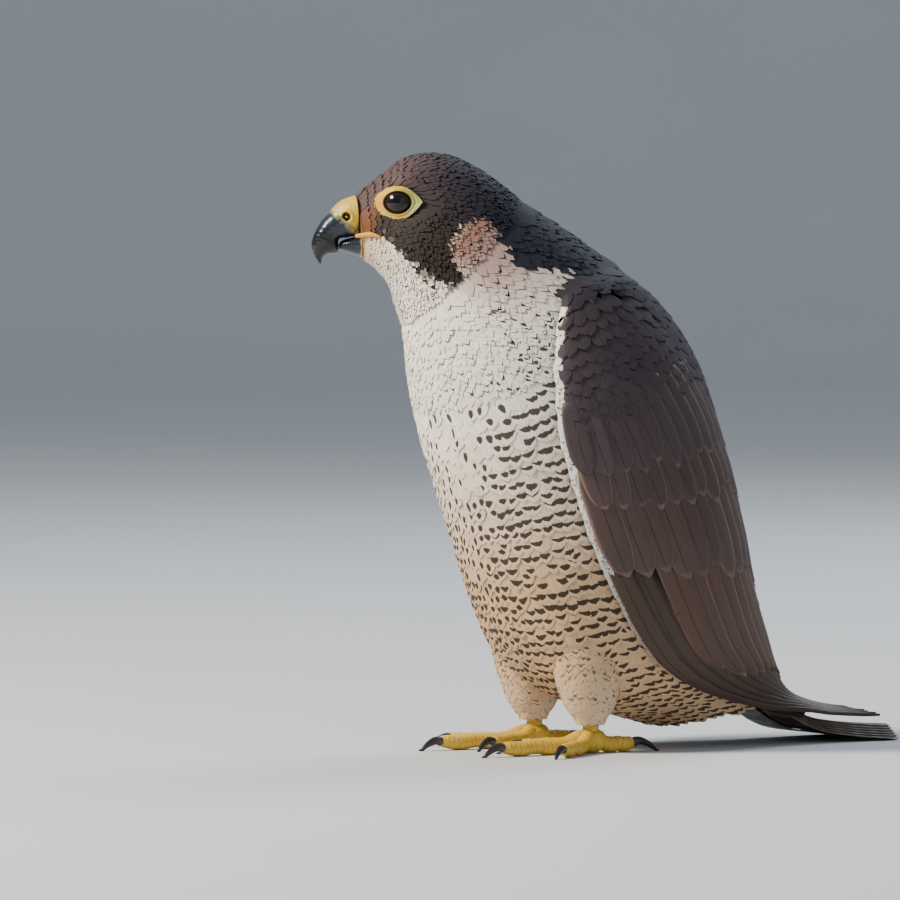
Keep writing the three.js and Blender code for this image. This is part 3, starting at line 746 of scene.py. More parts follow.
# Tiers of the folded wing, deepest first: count, from, to, then at from and at to the stations of
# root, tip and where the tier above ends, the rise length, the share that narrows to the tip,
# the pale fringe, and how far the colour is that of the primaries
WING_ROWS = [
    (9, 0.01, 0.6, (10.4, 13.0), (17.5, 16.2), (11.4, 14.4), 3.0, 0.3, 0.12, 0.75),
    (12, 0.2, 0.98, (10.0, 10.8), (13.2, 14.8), (11.2, 12.1), 1.2, 0.22, 0.5, 0.0),
    (14, 0.03, 0.97, (9.1, 9.6), (11.1, 12.0), (9.8, 10.5), 0.9, 0.34, 0.42, 0.0),
    (15, 0.04, 0.96, (8.6, 9.0), (10.1, 10.75), (9.2, 9.6), 0.7, 0.42, 0.42, 0.0),
    (15, 0.02, 0.98, (8.1, 8.5), (9.5, 10.1), (8.6, 9.0), 0.7, 0.45, 0.25, 0.0),
]
# As the rows of body feathers, with the gap of the rows in stations
SHOULDER = (6.3, 8.75, 0.2, 4.0, 13.5, 6.6, (7, 4))
VANE_STEPS = 16
VANE_ACROSS = 6
VANE_THICK = 0.28
LOW, HIGH, TILT = 1.8, 2.8, 0.45  # lift of a vane under and past the tier above, and its slant
ROOT_SINKS = 3.2
WING_STEP = 0.01  # a small step across the wing, in shares


def closed_vanes(top, under):
    """Rings that go over a vane and back under it. Both are arrays of feather, step, across, xyz."""
    return np.concatenate([top, under[:, :, ::-1]], 2).reshape(-1, 3)


def wing_row(row, side):
    """One tier: its points, quill values, and the coat, mark and uv of each feather."""
    count, start, stop, root, tip, covered, ramp, point, fringe, dark = row
    share = np.linspace(0, 1, count)
    middle = lerp(start, stop, share)
    half = 0.8 * (stop - start) / (count - 1)
    roots = lerp(*root, share)
    tips = lerp(*tip, share) + rng.normal(0, 0.06, count)
    s = np.linspace(0, 1, VANE_STEPS + 1)[None, :, None]
    v = np.linspace(-1, 1, VANE_ACROSS + 1)[None, None, :]
    t = lerp(column(roots), column(tips), s) + 0 * v
    wide = half * ((0.55 + 0.45 * np.minimum(1, s * 4)) * round_end(s, point, 2.2))
    at = np.clip(column(middle) + v * wide + 0 * t, -0.03, 1)
    rise = LOW + (HIGH - LOW) * np.clip((t - column(lerp(*covered, share))) / ramp, 0, 1)
    rise = rise - ROOT_SINKS * smooth(0.12, 0, s)
    arch = 0.55 * (1 - np.abs(v) ** 1.6)
    lift = wing_depth(t, at) + rise + TILT * v + arch * np.minimum(1, half * 8)
    angle = side * wing_angle(t, at)
    top = body_point(t, angle, lift)
    under = body_point(t, angle, lift - VANE_THICK)
    quill = np.stack(np.broadcast_arrays(s, v, column(rng.random(count)) + 0 * t), -1)
    coat = wing_tone(roots + 0.5, middle, dark) * rng.uniform(0.88, 1.1, (count, 1))
    pale = fringe * rng.uniform(0.25, 1.0, count)
    mark = np.stack([pale, np.full(count, 0.5), np.zeros(count)], -1)
    return closed_vanes(top, under), closed_vanes(quill, quill), coat, mark, wing_patch(roots, middle)


def wing_feathers(side, material):
    tiers = [wing_row(row, side) for row in WING_ROWS]
    points, quill, *looks = (np.concatenate(parts) for parts in zip(*tiers))
    laid = (points, quill, None, (VANE_STEPS + 1, 2 * (VANE_ACROSS + 1), VANE_ACROSS))
    name = sided("wing_feathers", side)
    return feather_piece(name, laid, looks, "wing_plumage", material, (sided("wing", side),))


def shoulder_feathers(side, material):
    """The lesser coverts: small feathers in staggered rows over the top of the folded wing."""
    start, stop, row_gap, side_gap, long, wide, quads = SHOULDER
    surface = wing_surface(side)
    f = np.linspace(0.0, 1.0, 40)
    rows = []
    for row, t in enumerate(np.arange(start, stop, row_gap)):
        travel = travelled(surface(np.full(len(f), t), f, 0 * f))
        at = np.arange(side_gap * (0.3 + 0.5 * (row % 2)), travel[-1], side_gap)
        share = np.interp(at, travel, f)
        rows.append((t + 0.3 * share * (t > 6.6), share))
    t0, f0 = in_rows(rows)
    n = len(t0)
    t0 = t0 + rng.normal(0, 0.015, n)
    grown = smooth(6.3, 8.0, t0)
    length = long * rng.uniform(0.9, 1.1, n) * lerp(0.7, 1.0, grown)
    width = wide * rng.uniform(0.9, 1.1, n) * lerp(0.72, 1.0, grown)
    early = smooth(7.0, 6.3, t0)
    rise = (np.full(n, 0.0), lerp(2.5, 1.6, early) + rng.normal(0, 0.1, n))
    laid = lay_feathers(surface, t0, f0, (length, width, 0.05), 0.07, rise, quads, WING_STEP)
    colour = lerp(wing_tone(t0, f0), NAPE, early[:, None] * 0.6) * rng.uniform(0.9, 1.08, (n, 1))
    looks = (colour, no_marks(n), wing_patch(t0, f0))
    return feather_piece(sided("shoulder_feathers", side), laid, looks, "wing_plumage", material)


def mantle_feathers(side, material):
    """Feathers of the back that cover the inner edge of the folded wing.
    They meet along the middle of the back, where a strip of them shades black."""
    def surface(t, a, lift):
        inner = wing_angle(t, 1.0)
        on_wing = smooth(inner + 20, inner - 8, np.minimum(a, 360 - a)) * smooth(6.3, 7.0, t)
        return body_point(t, side * a, on_wing * (wing_depth(t, 0.85) + 1.9) + lift)

    gap, last = 4.4, 186
    rows = []
    for row, t in enumerate(np.arange(6.5, 13.7, 0.17)):
        inner = float(wing_angle(t, 0.8))
        rows.append((t, np.arange(inner + gap / 2 * (row % 2), last, gap)))
    t0, a0 = in_rows(rows)
    n = len(t0)
    t0 = t0 + rng.normal(0, 0.02, n)
    a0 = a0 + rng.normal(0, 0.5, n)
    grown = lerp(0.75, 1.0, smooth(6.5, 8.0, t0))
    length = rng.uniform(14, 17.5, n) * grown
    width = rng.uniform(7.0, 8.4, n) * grown
    rise = (np.full(n, -0.6), 1.5 + rng.normal(0, 0.12, n))
    laid = lay_feathers(surface, t0, a0, (length, width, 0.05), 0.05, rise, (8, 4))
    # Near the wing the mantle is mixed toward the wing's colour, with its painted warm sunlight.
    near_wing = 0.55 * smooth(6, -8, a0 - wing_angle(t0, 1.0))
    tone = lerp(blend(MANTLE_STOPS, t0), wing_tone(t0, 0 * t0), near_wing[:, None])
    looks = (tone * rng.uniform(0.88, 1.1, (n, 1)), no_marks(n), skin_patch(t0, (side * a0) % 360))
    return feather_piece(sided("mantle_feathers", side), laid, looks, "slate_plumage", material)


# Rows along the wing's leading edge: share from it, and gap in stations
EDGE_ROWS = ((-0.035, 0.036), (-0.018, 0.04), (0.004, 0.045))


def wing_edge(side, material):
    """Small pale feathers along the leading edge of the wing, whiter partly as a painted highlight along the
    edge.
    """
    t0, f0 = in_rows([(np.arange(6.5, 12.8, gap), share) for share, gap in EDGE_ROWS])
    n = len(t0)
    t0 = t0 + rng.normal(0, 0.012, n)
    low = smooth(9.0, 12.4, t0)
    length = rng.uniform(7, 9.5, n)
    width = rng.uniform(2.0, 2.7, n) * lerp(1, 0.6, low)
    rise = (np.full(n, 0.2), 1.7 + rng.normal(0, 0.1, n))
    size = (length, width, 0.08)
    laid = lay_feathers(wing_surface(side), t0, f0, size, 0.05, rise, (6, 2), WING_STEP)
    # Partly painted highlight: the front rows are white along the wing's edge, fading toward its tip.
    pale = smooth(0.006, -0.018, f0) * lerp(1, 0.3, low)
    colour = lerp(wing_tone(t0, f0), WHITE_EDGE_AND_HIGHLIGHT, pale[:, None]) * rng.uniform(0.92, 1.05, (n, 1))
    patch = np.stack([0.5 + f0 * 4, wing_patch(t0, f0)[:, 1]], -1)
    looks = (colour, no_marks(n), patch)
    return feather_piece(sided("wing_edge", side), laid, looks, "wing_plumage", material)


TAIL_PAIRS = 6
TAIL_FROM = 0.12  # share of the tail's line where the feathers begin
TAIL_STEPS, TAIL_ACROSS = 22, 8
TAIL_HALF = 10.5
TAIL_THICK = 0.4
TAIL_TIER = 0.95
TAIL_MARK = (0.5, 0.5, 1.0)


def tail_vane(order, side):
    """One tail feather, order 0 in the middle: its points, quill values, coat, mark and uv."""
    s = np.linspace(TAIL_FROM, 1, TAIL_STEPS)[:, None]
    v = np.linspace(-1, 1, TAIL_ACROSS + 1)[None, :]
    f = (s - TAIL_FROM) / (1 - TAIL_FROM)
    span = lerp(TAIL_FROM, 1 - 0.012 * order, f) + 0 * v
    wide = TAIL_HALF * (0.45 + 0.55 * np.minimum(1, f * 8 / 3)) * round_end(f, 0.16, 2.5)
    middle = side * (2 + order * lerp(7, 15, f) / (TAIL_PAIRS - 1))
    tier = (TAIL_PAIRS - 1 - order) * TAIL_TIER * lerp(1.25, 1, f)
    lift = tier - (0 if side > 0 else 0.45) + 0.4 + 0.45 * (1 - np.abs(v) ** 1.6)
    x = middle + v * wide
    points = closed_vanes(tail_point(span, x, lift)[None], tail_point(span, x, lift - TAIL_THICK)[None])
    quill = np.stack(np.broadcast_arrays(f, v, np.full_like(f * v, rng.random())), -1)[None]
    coat = [TAIL_BROWN * rng.uniform(0.9, 1.1)]
    patch = [[0.5 + side * (0.03 + 0.07 * order), 0.5]]
    return points, closed_vanes(quill, quill), coat, [TAIL_MARK], patch


def tail_feathers(material):
    vanes = [tail_vane(order, side) for order in range(TAIL_PAIRS - 1, -1, -1) for side in (1, -1)]
    points, quill, *looks = (np.concatenate(parts) for parts in zip(*vanes))
    laid = (points, quill, None, (TAIL_STEPS, 2 * (TAIL_ACROSS + 1), TAIL_ACROSS))
    return feather_piece("tail_feathers", laid, looks, "wing_plumage", material, ("tail",))


# Sections of the bill: its ridge's y, z, its lower edge's y, z, and half its width
CERE = np.array([
    (-104.0, 244.6, -102.8, 229.6, 9.2),
    (-109.9, 242.3, -103.1, 228.8, 8.4),
    (-114.2, 238.4, -103.3, 228.3, 7.3),
])
UPPER_BILL = np.array([
    (-113.6, 238.4, -102.2, 227.2, 7.1),
    (-117.9, 234.2, -107.0, 226.2, 6.5),
    (-120.6, 229.9, -110.9, 225.2, 5.7),
    (-122.2, 226.4, -111.3, 219.8, 5.1),
    (-122.9, 222.4, -115.8, 218.9, 3.6),
    (-121.8, 218.2, -118.0, 217.4, 1.9),
    (-119.5, 214.9, -118.8, 214.6, 0.4),
])
LOWER_BILL = np.array([
    (-101.5, 226.8, -101.0, 217.6, 7.2),
    (-106.5, 225.9, -106.2, 219.4, 5.9),
    (-109.6, 224.9, -109.4, 220.4, 4.5),
    (-110.8, 223.6, -110.8, 221.2, 3.0),
])
BILL_ROUND = 0.8
NOSTRIL = (8.0, -108.3, 235.4)


def beak_points(sections, steps, sides):
    ty, tz, by, bz, half = columns_at(sections, np.linspace(0, len(sections) - 1, steps)[:, None])
    a = np.arange(sides)[None, :] * 2 * np.pi / sides
    height = (0.5 + 0.5 * np.cos(a)) ** BILL_ROUND
    x = half * np.sign(np.sin(a)) * np.abs(np.sin(a)) ** BILL_ROUND
    return np.stack([x, by + (ty - by) * height, bz + (tz - bz) * height], -1)


def rod_piece(name, points, node, slot, material, place=None, upright=True):
    """One closed body from an array of rings, with places along and around for its material.
    upright says that its bake map has the rings one over another, and not side by side."""
    rings, width = points.shape[:2]
    piece = new_piece(name, points.reshape(-1, 3), ring_faces(rings, width), node, slot)
    k, a = grid(np.linspace(0, 1, rings), np.linspace(0, 1, width))
    place = np.stack([k, a, 0 * a], -1) if place is None else place
    uv = 0.02 + 0.96 * np.stack([a, k] if upright else [k, a], -1)
    return dress(piece, uv, material, place=place)


def bill_pieces(materials):
    for name, sections, shape in (("upper", UPPER_BILL, (70, 64)), ("lower", LOWER_BILL, (40, 48))):
        points = head_turned(beak_points(sections, *shape))
        rod_piece(f"bill_{name}_horn", points, (f"bill_{name}",), "dark_horn", materials["horn"])
    cere = beak_points(CERE, 60, 120)
    pit = np.zeros(cere.shape[:2])
    for side in (1, -1):
        away = np.linalg.norm(cere - np.array([side * NOSTRIL[0] * 0.93, *NOSTRIL[1:]]), axis=-1)
        hollow = smooth(2.3, 1.5, away)
        peg = smooth(0.95, 0.4, away)
        rim = np.exp(-(((away - 2.6) / 0.6) ** 2))
        cere[..., 0] -= side * (2.2 * hollow - 1.9 * peg - 0.35 * rim)
        # The nostril's hollow, which the cere's material paints dark as painted shade.
        pit = np.maximum(pit, hollow - 0.9 * peg)
    place = np.stack([np.linspace(0, 1, 60)[:, None] + 0 * pit, pit, 0 * pit], -1)
    rod_piece("cere_skin", head_turned(cere), ("cere",), "yellow_skin", materials["cere"], place)


def eye_frame(side):
    """The eye's centre before the head's turn, its gaze, and its own ahead and up."""
    centre = EYE_AT * [side, 1, 1]
    aside, up = math.radians(78), math.radians(2)
    gaze = np.array([side * math.sin(aside) * math.cos(up), -math.cos(aside) * math.cos(up), math.sin(up)])
    forward = unit(np.array([0, -1.0, 0]) + gaze * gaze[1])
    upward = np.array([0, 0, 1.0]) - gaze * gaze[2]
    return centre, gaze, forward, unit(upward - forward * upward.dot(forward))


def eyeball(side, material):
    centre, gaze, forward, upward = eye_frame(side)
    polar, turn = np.linspace(0.02, math.pi - 0.02, 48), np.arange(64) * 2 * math.pi / 64
    polar, turn = (x[..., None] for x in np.meshgrid(polar, turn, indexing="ij"))
    swell = EYE_RADIUS + 0.55 * np.exp(-((polar / 0.5) ** 2))
    way = gaze * np.cos(polar) + (forward * np.cos(turn) + upward * np.sin(turn)) * np.sin(polar)
    points = head_turned(centre + way * swell)
    place = np.concatenate([polar, turn, 0 * polar], -1)
    return rod_piece(sided("eyeball", side), points, (sided("eye", side),), "eye", material, place)


def head_surface_at(axes, spots, side):
    """The places on the head's surface that lie at spots, ahead and up, in the eye's own axes."""
    centre, gaze, forward, upward = axes
    t, a = grid(np.linspace(0.5, 3.6, 260), np.linspace(66, 152, 260))
    rel = head_turned(body_point(t, side * a, 0.0 * t), -1.0) - centre
    flat = np.stack([rel @ forward, rel @ upward], -1)
    nearest = [np.argmin(((flat - spot) ** 2).sum(-1)) for spot in spots]
    depth = (rel @ gaze)[nearest]
    depth = np.convolve(np.concatenate([depth[-3:], depth, depth[:3]]), np.full(7, 1 / 7), "valid")
    return centre + forward * spots[:, :1] + upward * spots[:, 1:] + gaze * depth[:, None]


def eye_ring(side, material):
    """The bare yellow ring with the lids' rims, from the eyeball out to the feathers."""
    axes = eye_frame(side)
    centre, gaze, forward, upward = axes
    around, out = 96, 14
    angle = np.arange(around) * 2 * math.pi / around
    c, s = np.cos(angle), np.sin(angle)
    inner = np.stack([c * np.where(c > 0, 6.1, 5.9), s * np.where(s > 0, 4.7, 5.2)], -1)
    level = np.where(s > 0, EYE_OVER, EYE_UNDER) + 0.5
    outer = np.stack([
        c * (np.where(c > 0, EYE_AHEAD, EYE_BEHIND) + 0.5),
        np.sign(s) * level * np.abs(s) ** np.where(c > 0, *EYE_CORNER),
    ], -1)
    depth = np.sqrt(np.maximum((EYE_RADIUS + 0.3) ** 2 - (inner**2).sum(-1), 0.1))
    inner_pos = centre + forward * inner[:, :1] + upward * inner[:, 1:] + gaze * depth[:, None]
    outer_pos = head_surface_at(axes, outer, side) - gaze * 0.2
    k = np.linspace(0, 1, out)[None, :, None]
    line = lerp(inner_pos[:, None], outer_pos[:, None], k)
    rim = 1.25 * np.exp(-(((k - 0.16) / 0.16) ** 2)) + 0.4 * np.exp(-(((k - 0.55) / 0.25) ** 2))
    line = line + gaze * rim
    tuck = centre + (line[:, :1] - centre) * 0.86
    deep = centre + (line[:, -1:] - centre) * 0.86
    points = head_turned(np.concatenate([tuck, line, deep], 1)).reshape(-1, 3)
    width = out + 2
    i, j = grid(np.arange(around), np.arange(width))
    ahead, beside = (i + 1) % around, (j + 1) % width
    corners = (i * width + j, i * width + beside, ahead * width + beside, ahead * width + j)
    faces = (np.stack(corners, -1).ravel(), np.full(len(i), 4))
    name, node = sided("eye_ring", side), sided("eyelids", side)
    piece = new_piece(name, points, faces, (node,), "yellow_skin")
    place = np.stack([c[i], np.linspace(0, 1, width)[j], 0.0 * j], -1)
    uv = np.stack([0.1 + 0.8 * i / around, 0.1 + 0.8 * j / width], -1)
    return dress(piece, uv, material, place=place)


# The left foot: the hub under the ankle, and toes by turn from ahead, length,
# thickness, and the length and name of the claw
HUB = np.array([23.0, -7.0, 8.2])
TOES = [
    (-21, 31, 3.3, 13, "inner"),
    (3, 47, 3.3, 13.5, "middle"),
    (38, 37, 3.1, 12, "outer"),
    (172, 20, 3.4, 15, "hind"),
]
TOE_SHARES = np.array([0, 0.13, 0.3, 0.5, 0.62, 0.8, 0.93, 1])
TOE_SWELL = np.array([1.05, 1.1, 0.98, 1.04, 0.9, 0.98, 0.86, 0.66])
LIMB_SIDES = 20
CLAW_GAP = 0.3
CLAW_BEND = 58
CLAW_STEPS = 28
CLAW_RINGS = 60
CLAW_FLOOR = 0.45
SCUTE_GAP = 2.1
SCUTE_HEIGHT = 0.32


def toe_line(turn, length, thick):
    a = math.radians(turn)
    low = thick - 0.25
    z = np.array([6.6, 6.4, low + 1.1, low + 0.3, low + 0.9, low + 0.2, low + 0.7, low + 0.9])
    x = HUB[0] + math.sin(a) * length * TOE_SHARES
    y = HUB[1] - math.cos(a) * length * TOE_SHARES
    return np.column_stack([x, y, z])


def sweep(line, radii, steps, sides, scutes=0.0):
    """Rings of points round a line, with scutes as low steps over its top, and their phase."""
    k = np.linspace(0, len(line) - 1, steps)
    centre = np.stack(list(columns_at(line, k)), -1)
    tangent = unit(np.gradient(centre, axis=0))
    aside = np.cross(tangent, [0, 0, 1.0])
    flat = np.linalg.norm(aside, axis=1, keepdims=True)
    aside = np.where(flat > 0.3, aside / np.maximum(flat, 1e-6), [1.0, 0, 0])
    up = np.cross(aside, tangent)
    a = np.arange(sides) * 2 * np.pi / sides
    travel = travelled(centre)
    phase = (travel / SCUTE_GAP) % 1.0
    top = smooth(-0.1, 0.5, np.cos(a))[None, :]
    step = scutes * (phase**0.5 * smooth(1.0, 0.86, phase))[:, None] * top
    grain = scutes * 0.5 * np.abs(np.sin(travel / 0.75))[:, None] * np.abs(np.sin(4.5 * a))[None, :]
    r = through(radii, k)[:, None] + step + grain * (1 - top)
    ring = centre[:, None] + aside[:, None] * (np.sin(a)[None, :, None] * r[..., None])
    ring = ring + up[:, None] * (np.cos(a)[None, :, None] * r[..., None])
    return ring, np.broadcast_to(phase[:, None], r.shape)


def on_floor(ring, side):
    """A left limb's points kept over the floor, and mirrored for the right."""
    ring[..., 2] = np.maximum(ring[..., 2], 0.0)
    ring[..., 0] *= side
    return ring


def foot_parts():
    """The lines of toes, shank and ball, with their radii and count of rings."""
    parts = [(toe_line(turn, length, thick), TOE_SWELL * thick, 90) for turn, length, thick, _, _ in TOES]
    x, y, z = HUB
    shank = np.array([(x, y + 0.5, z - 5), (x, y, z + 3), (x, y - 0.5, z + 16)])
    ball = np.array([(x, y + 6.0, 4.6), (x, y + 4.6, 5.1), (x, y, 5.4), (x, y - 4.6, 5.1), (x, y - 6.2, 4.6)])
    return parts + [(shank, (3.7, 3.4, 3.1), 40), (ball, (1.2, 4.4, 5.4, 4.5, 1.2), 24)]


def foot_piece(side, material):
    bodies, places, patch = [], [], []
    for order, (line, radii, steps) in enumerate(foot_parts()):
        ring, phase = sweep(line, radii, steps, LIMB_SIDES, SCUTE_HEIGHT)
        bodies.append((on_floor(ring, side).reshape(-1, 3), (steps, LIMB_SIDES)))
        places.append(np.stack([phase, 0 * phase, 0 * phase], -1).reshape(-1, 3))
        i, j = grid(np.linspace(0, 1, steps), np.linspace(0, 1, LIMB_SIDES))
        patch.append(np.stack([0.02 + 0.15 * (order + i), 0.1 + 0.8 * j], -1))
    name, node = sided("foot_skin", side), sided("foot", side)
    piece = new_piece(name, *joined(bodies), (node,), "yellow_skin")
    return dress(piece, np.concatenate(patch), material, place=np.concatenate(places))


def claw_piece(side, toe, material):
    turn, length, thick, reach, name = toe
    line = toe_line(turn, length, thick)
    out = unit(line[-1] - line[-2])
    level = np.array([out[0], out[1], 0]) / math.hypot(out[0], out[1])
    tilt = math.asin(out[2])
    knots = [line[-1] + out * CLAW_GAP]
    for k in range(1, CLAW_STEPS + 1):
        f = k / CLAW_STEPS
        a = tilt + math.radians(26 * max(0, 1 - f * 5 / 1.5)) - math.radians(CLAW_BEND) * f**0.8
        way = level * math.cos(a) + np.array([0, 0, math.sin(a)])
        knot = knots[-1] + way * (reach / CLAW_STEPS)
        knot[2] = max(knot[2], CLAW_FLOOR)
        knots.append(knot)
    radii = thick * 0.6 * (1 - np.linspace(0, 1, CLAW_STEPS + 1)) ** 0.8 + 0.2
    ring, _ = sweep(np.array(knots), radii, CLAW_RINGS, LIMB_SIDES)
    node = sided(f"claw_{name}", side)
    name = sided(f"talon_{name}", side)
    return rod_piece(name, on_floor(ring, side), (node,), "dark_horn", material, upright=False)


def mouth_lips(side, material):
    """The narrow yellow skin where the bill's edges meet the cheek."""
    line = np.array([(8.6, -104.4, 226.9), (10.2, -101.5, 227.3), (12.7, -98.4, 227.6), (15.3, -94.6, 226.6)])
    ring, _ = sweep(line, (0.8, 1.1, 1.15, 0.5), 40, 16)
    ring[..., 0] *= side
    place = np.tile([0.95, 0.5, 0.0], (40 * 16, 1))
    return rod_piece(sided("gape", side), head_turned(ring), (), "yellow_skin", material, place)


# Materials
class Value:
    """A socket of a shader. Arithmetic on values adds Math nodes."""

    def __init__(self, shader, socket):
        self.shader = shader
        self.socket = socket

    def math(self, operation, *others):
        return self.shader.calculate(operation, self, *others)

    def __add__(self, other):
        return self.math("ADD", other)

    __radd__ = __add__

    def __mul__(self, other):
        return self.math("MULTIPLY", other)

    __rmul__ = __mul__

    def __sub__(self, other):
        return self.math("SUBTRACT", other)

    def __rsub__(self, other):
        return self.shader.calculate("SUBTRACT", other, self)

    def __truediv__(self, other):
        return self.math("DIVIDE", other)

    def __rtruediv__(self, other):
        return self.shader.calculate("DIVIDE", other, self)

    def __abs__(self):
        return self.math("ABSOLUTE")


class Shader:
    """A material whose Principled surface is fed by values."""

    def __init__(self, name, **surface):
        self.material = bpy.data.materials.new(name)
        self.material.use_nodes = True
        self.tree = self.material.node_tree
        self.surface = self.tree.nodes["Principled BSDF"]
        self.feed(**surface)

    def feed(self, **surface):
        for key, value in surface.items():
            self.join(self.surface.inputs[key.replace("_", " ")], value)
        return self.material

    def join(self, socket, value):
        if isinstance(value, Value):
            self.tree.links.new(value.socket, socket)
        elif isinstance(value, (int, float)):
            socket.default_value = value
        else:
            socket.default_value = tuple(value)

    def node(self, kind, settings, inputs, out=0):
        made = self.tree.nodes.new(kind)
        for key, value in settings.items():
            setattr(made, key, value)
        for key, value in inputs.items():
            self.join(made.inputs[key], value)
        return Value(self, made.outputs[out])

    def calculate(self, operation, *values):
        return self.node("ShaderNodeMath", {"operation": operation}, dict(enumerate(values)))

    def attribute(self, name, out="Vector"):
        return self.node("ShaderNodeAttribute", {"attribute_name": name}, {}, out)

    def parts(self, name):
        """The three numbers of an attribute."""
        vector = self.attribute(name)
        return [self.node("ShaderNodeSeparateXYZ", {}, {0: vector}, k) for k in range(3)]

    def vector(self, x, y, z):
        return self.node("ShaderNodeCombineXYZ", {}, {0: x, 1: y, 2: z})

    def step(self, value, low, high):
        """0 under low, 1 over high, smooth between."""
        inputs = {0: value, 1: low, 2: high, 3: 0.0, 4: 1.0}
        return self.node("ShaderNodeMapRange", {"interpolation_type": "SMOOTHSTEP"}, inputs)

    def mix(self, a, b, factor, kind="MIX"):
        """Two colours mixed, each a value or three numbers."""
        a, b = (colour if isinstance(colour, Value) else (*colour, 1.0) for colour in (a, b))
        settings = {"data_type": "RGBA", "blend_type": kind}
        return self.node("ShaderNodeMix", settings, {0: factor, 6: a, 7: b}, 2)

    def shaded(self, colour, value):
        """A colour times a value."""
        grey = self.node("ShaderNodeCombineColor", {}, {0: value, 1: value, 2: value})
        return self.mix(colour, grey, 1.0, "MULTIPLY")

    def noise(self, scale, detail=2.0, roughness=0.5, vector=None):
        """Noise over the object's own space, or over another vector."""
        vector = vector or self.node("ShaderNodeTexCoord", {}, {}, "Object")
        inputs = {"Vector": vector, "Scale": scale, "Detail": detail, "Roughness": roughness}
        return self.node("ShaderNodeTexNoise", {}, inputs)

    def bump(self, height, distance, strength=1.0):
        inputs = {"Height": height, "Distance": distance, "Strength": strength}
        return self.node("ShaderNodeBump", {}, inputs)


FLESH = {"Subsurface_Scale": 0.002, "Subsurface_Radius": (1.0, 0.55, 0.2)}


def barbs(shader, s, v, own, along, slant):
    """Fine streaks that leave the shaft at a slant, 0 to 1, different on every feather."""
    line = s * along - abs(v) * slant
    return shader.noise(1.0, 3.0, 0.6, shader.vector(line, v * 0.7 + own * 37.0, own * 91.0))


def feather_material():
    """Body feathers: each one's own colour and mark, loose barbs and a shaft, paler to the tip; their darker
    roots are partly the downy base and partly painted shade under the feather above.
    """
    shader = Shader("body_feather", Roughness=0.72, Specular_IOR_Level=0.25)
    s, v, own = shader.parts("quill")
    wide, long, strong = shader.parts("mark")
    streak = barbs(shader, s, v, own, 26.0, 7.0)
    drift = shader.noise(1.6, vector=shader.vector(v * 1.4 + own * 53.0, s * 2.0, own * 17.0))
    away = s - 0.78 + v * v * 0.1 + (drift - 0.5) * 0.1
    x = v / wide
    y = away / long
    spot = 1 - shader.step(x * x + y * y + (streak - 0.5) * 0.9, 0.7, 1.35)
    shaft = 1 - shader.step(abs(v), 0.03, 0.09)
    # Painted shade: each feather is darker toward its root, under the feather above, as well as at its downy
    # base.
    shade = 0.74 + streak * 0.4 + shader.step(s, 0.25, 0.9) * 0.12 - shaft * 0.1
    coat = shader.shaded(shader.attribute("coat", "Color"), shade)
    coat = shader.mix(coat, MARK, spot * strong * 0.94)
    height = streak * 0.6 + shaft * 0.5
    return shader.feed(Base_Color=coat, Normal=shader.bump(height, 0.0003, 0.6))


def vane_material():
    """Wing and tail feathers: close barbs, a dark shaft, pale fringes and faint bars."""
    shader = Shader("flight_feather", Roughness=0.5, Specular_IOR_Level=0.35)
    s, v, own = shader.parts("quill")
    fringe, _, barred = shader.parts("mark")
    streak = barbs(shader, s, v, own, 60.0, 12.0)
    drift = shader.noise(1.5, vector=shader.vector(v * 2.0 + own * 53.0, s * 5.0, own * 17.0))
    shaft = 1 - shader.step(abs(v), 0.025, 0.06)
    side = shader.step(abs(v) + (streak - 0.5) * 0.2, 0.8, 0.96)
    tip = shader.step(s + (streak - 0.5) * 0.02, 0.94, 0.985)
    rim = side.math("MAXIMUM", tip) * fringe
    wave = ((s * 62.0 + abs(v) * 2.2 + (drift - 0.5) * 2.2).math("SINE") - 0.25) * 2.0
    bars = shader.step(wave, 0.0, 1.0) * barred
    shade = 0.76 + streak * 0.36 + (drift - 0.5) * 0.2 - shaft * 0.4
    coat = shader.shaded(shader.attribute("coat", "Color"), shade)
    coat = shader.mix(coat, TAIL_BAR, bars * 0.6)
    coat = shader.mix(coat, FRINGE, rim * 0.8)
    return shader.feed(Base_Color=coat, Normal=shader.bump(streak * 0.5 + shaft, 0.0003, 0.7))


def skin_material():
    shader = Shader("skin", Roughness=0.85, Specular_IOR_Level=0.15)
    down = shader.noise(900.0, 3.0)
    coat = shader.shaded(shader.attribute("coat", "Color"), 0.55 + down * 0.5)
    return shader.feed(Base_Color=coat, Normal=shader.bump(down, 0.0004))


def ring_material():
    shader = Shader("eye_ring", Roughness=0.42, Subsurface_Weight=0.12, **FLESH)
    front, share, _ = shader.parts("place")
    cells = shader.noise(1500.0)
    fold = shader.noise(420.0)
    skin = shader.mix(OLIVE, YELLOW, shader.step(front, -0.75, 0.1))
    skin = shader.mix(skin, ORANGE, shader.step(front, 0.72, 1.0) * 0.7)
    skin = shader.shaded(skin, 0.72 + cells * 0.5)
    lid = 1 - shader.step(share + (fold - 0.5) * 0.06, 0.1, 0.19)
    skin = shader.mix(skin, tint(44, 34, 24), lid * 0.92)
    return shader.feed(Base_Color=skin, Normal=shader.bump(cells * 0.5 + fold, 0.0004))


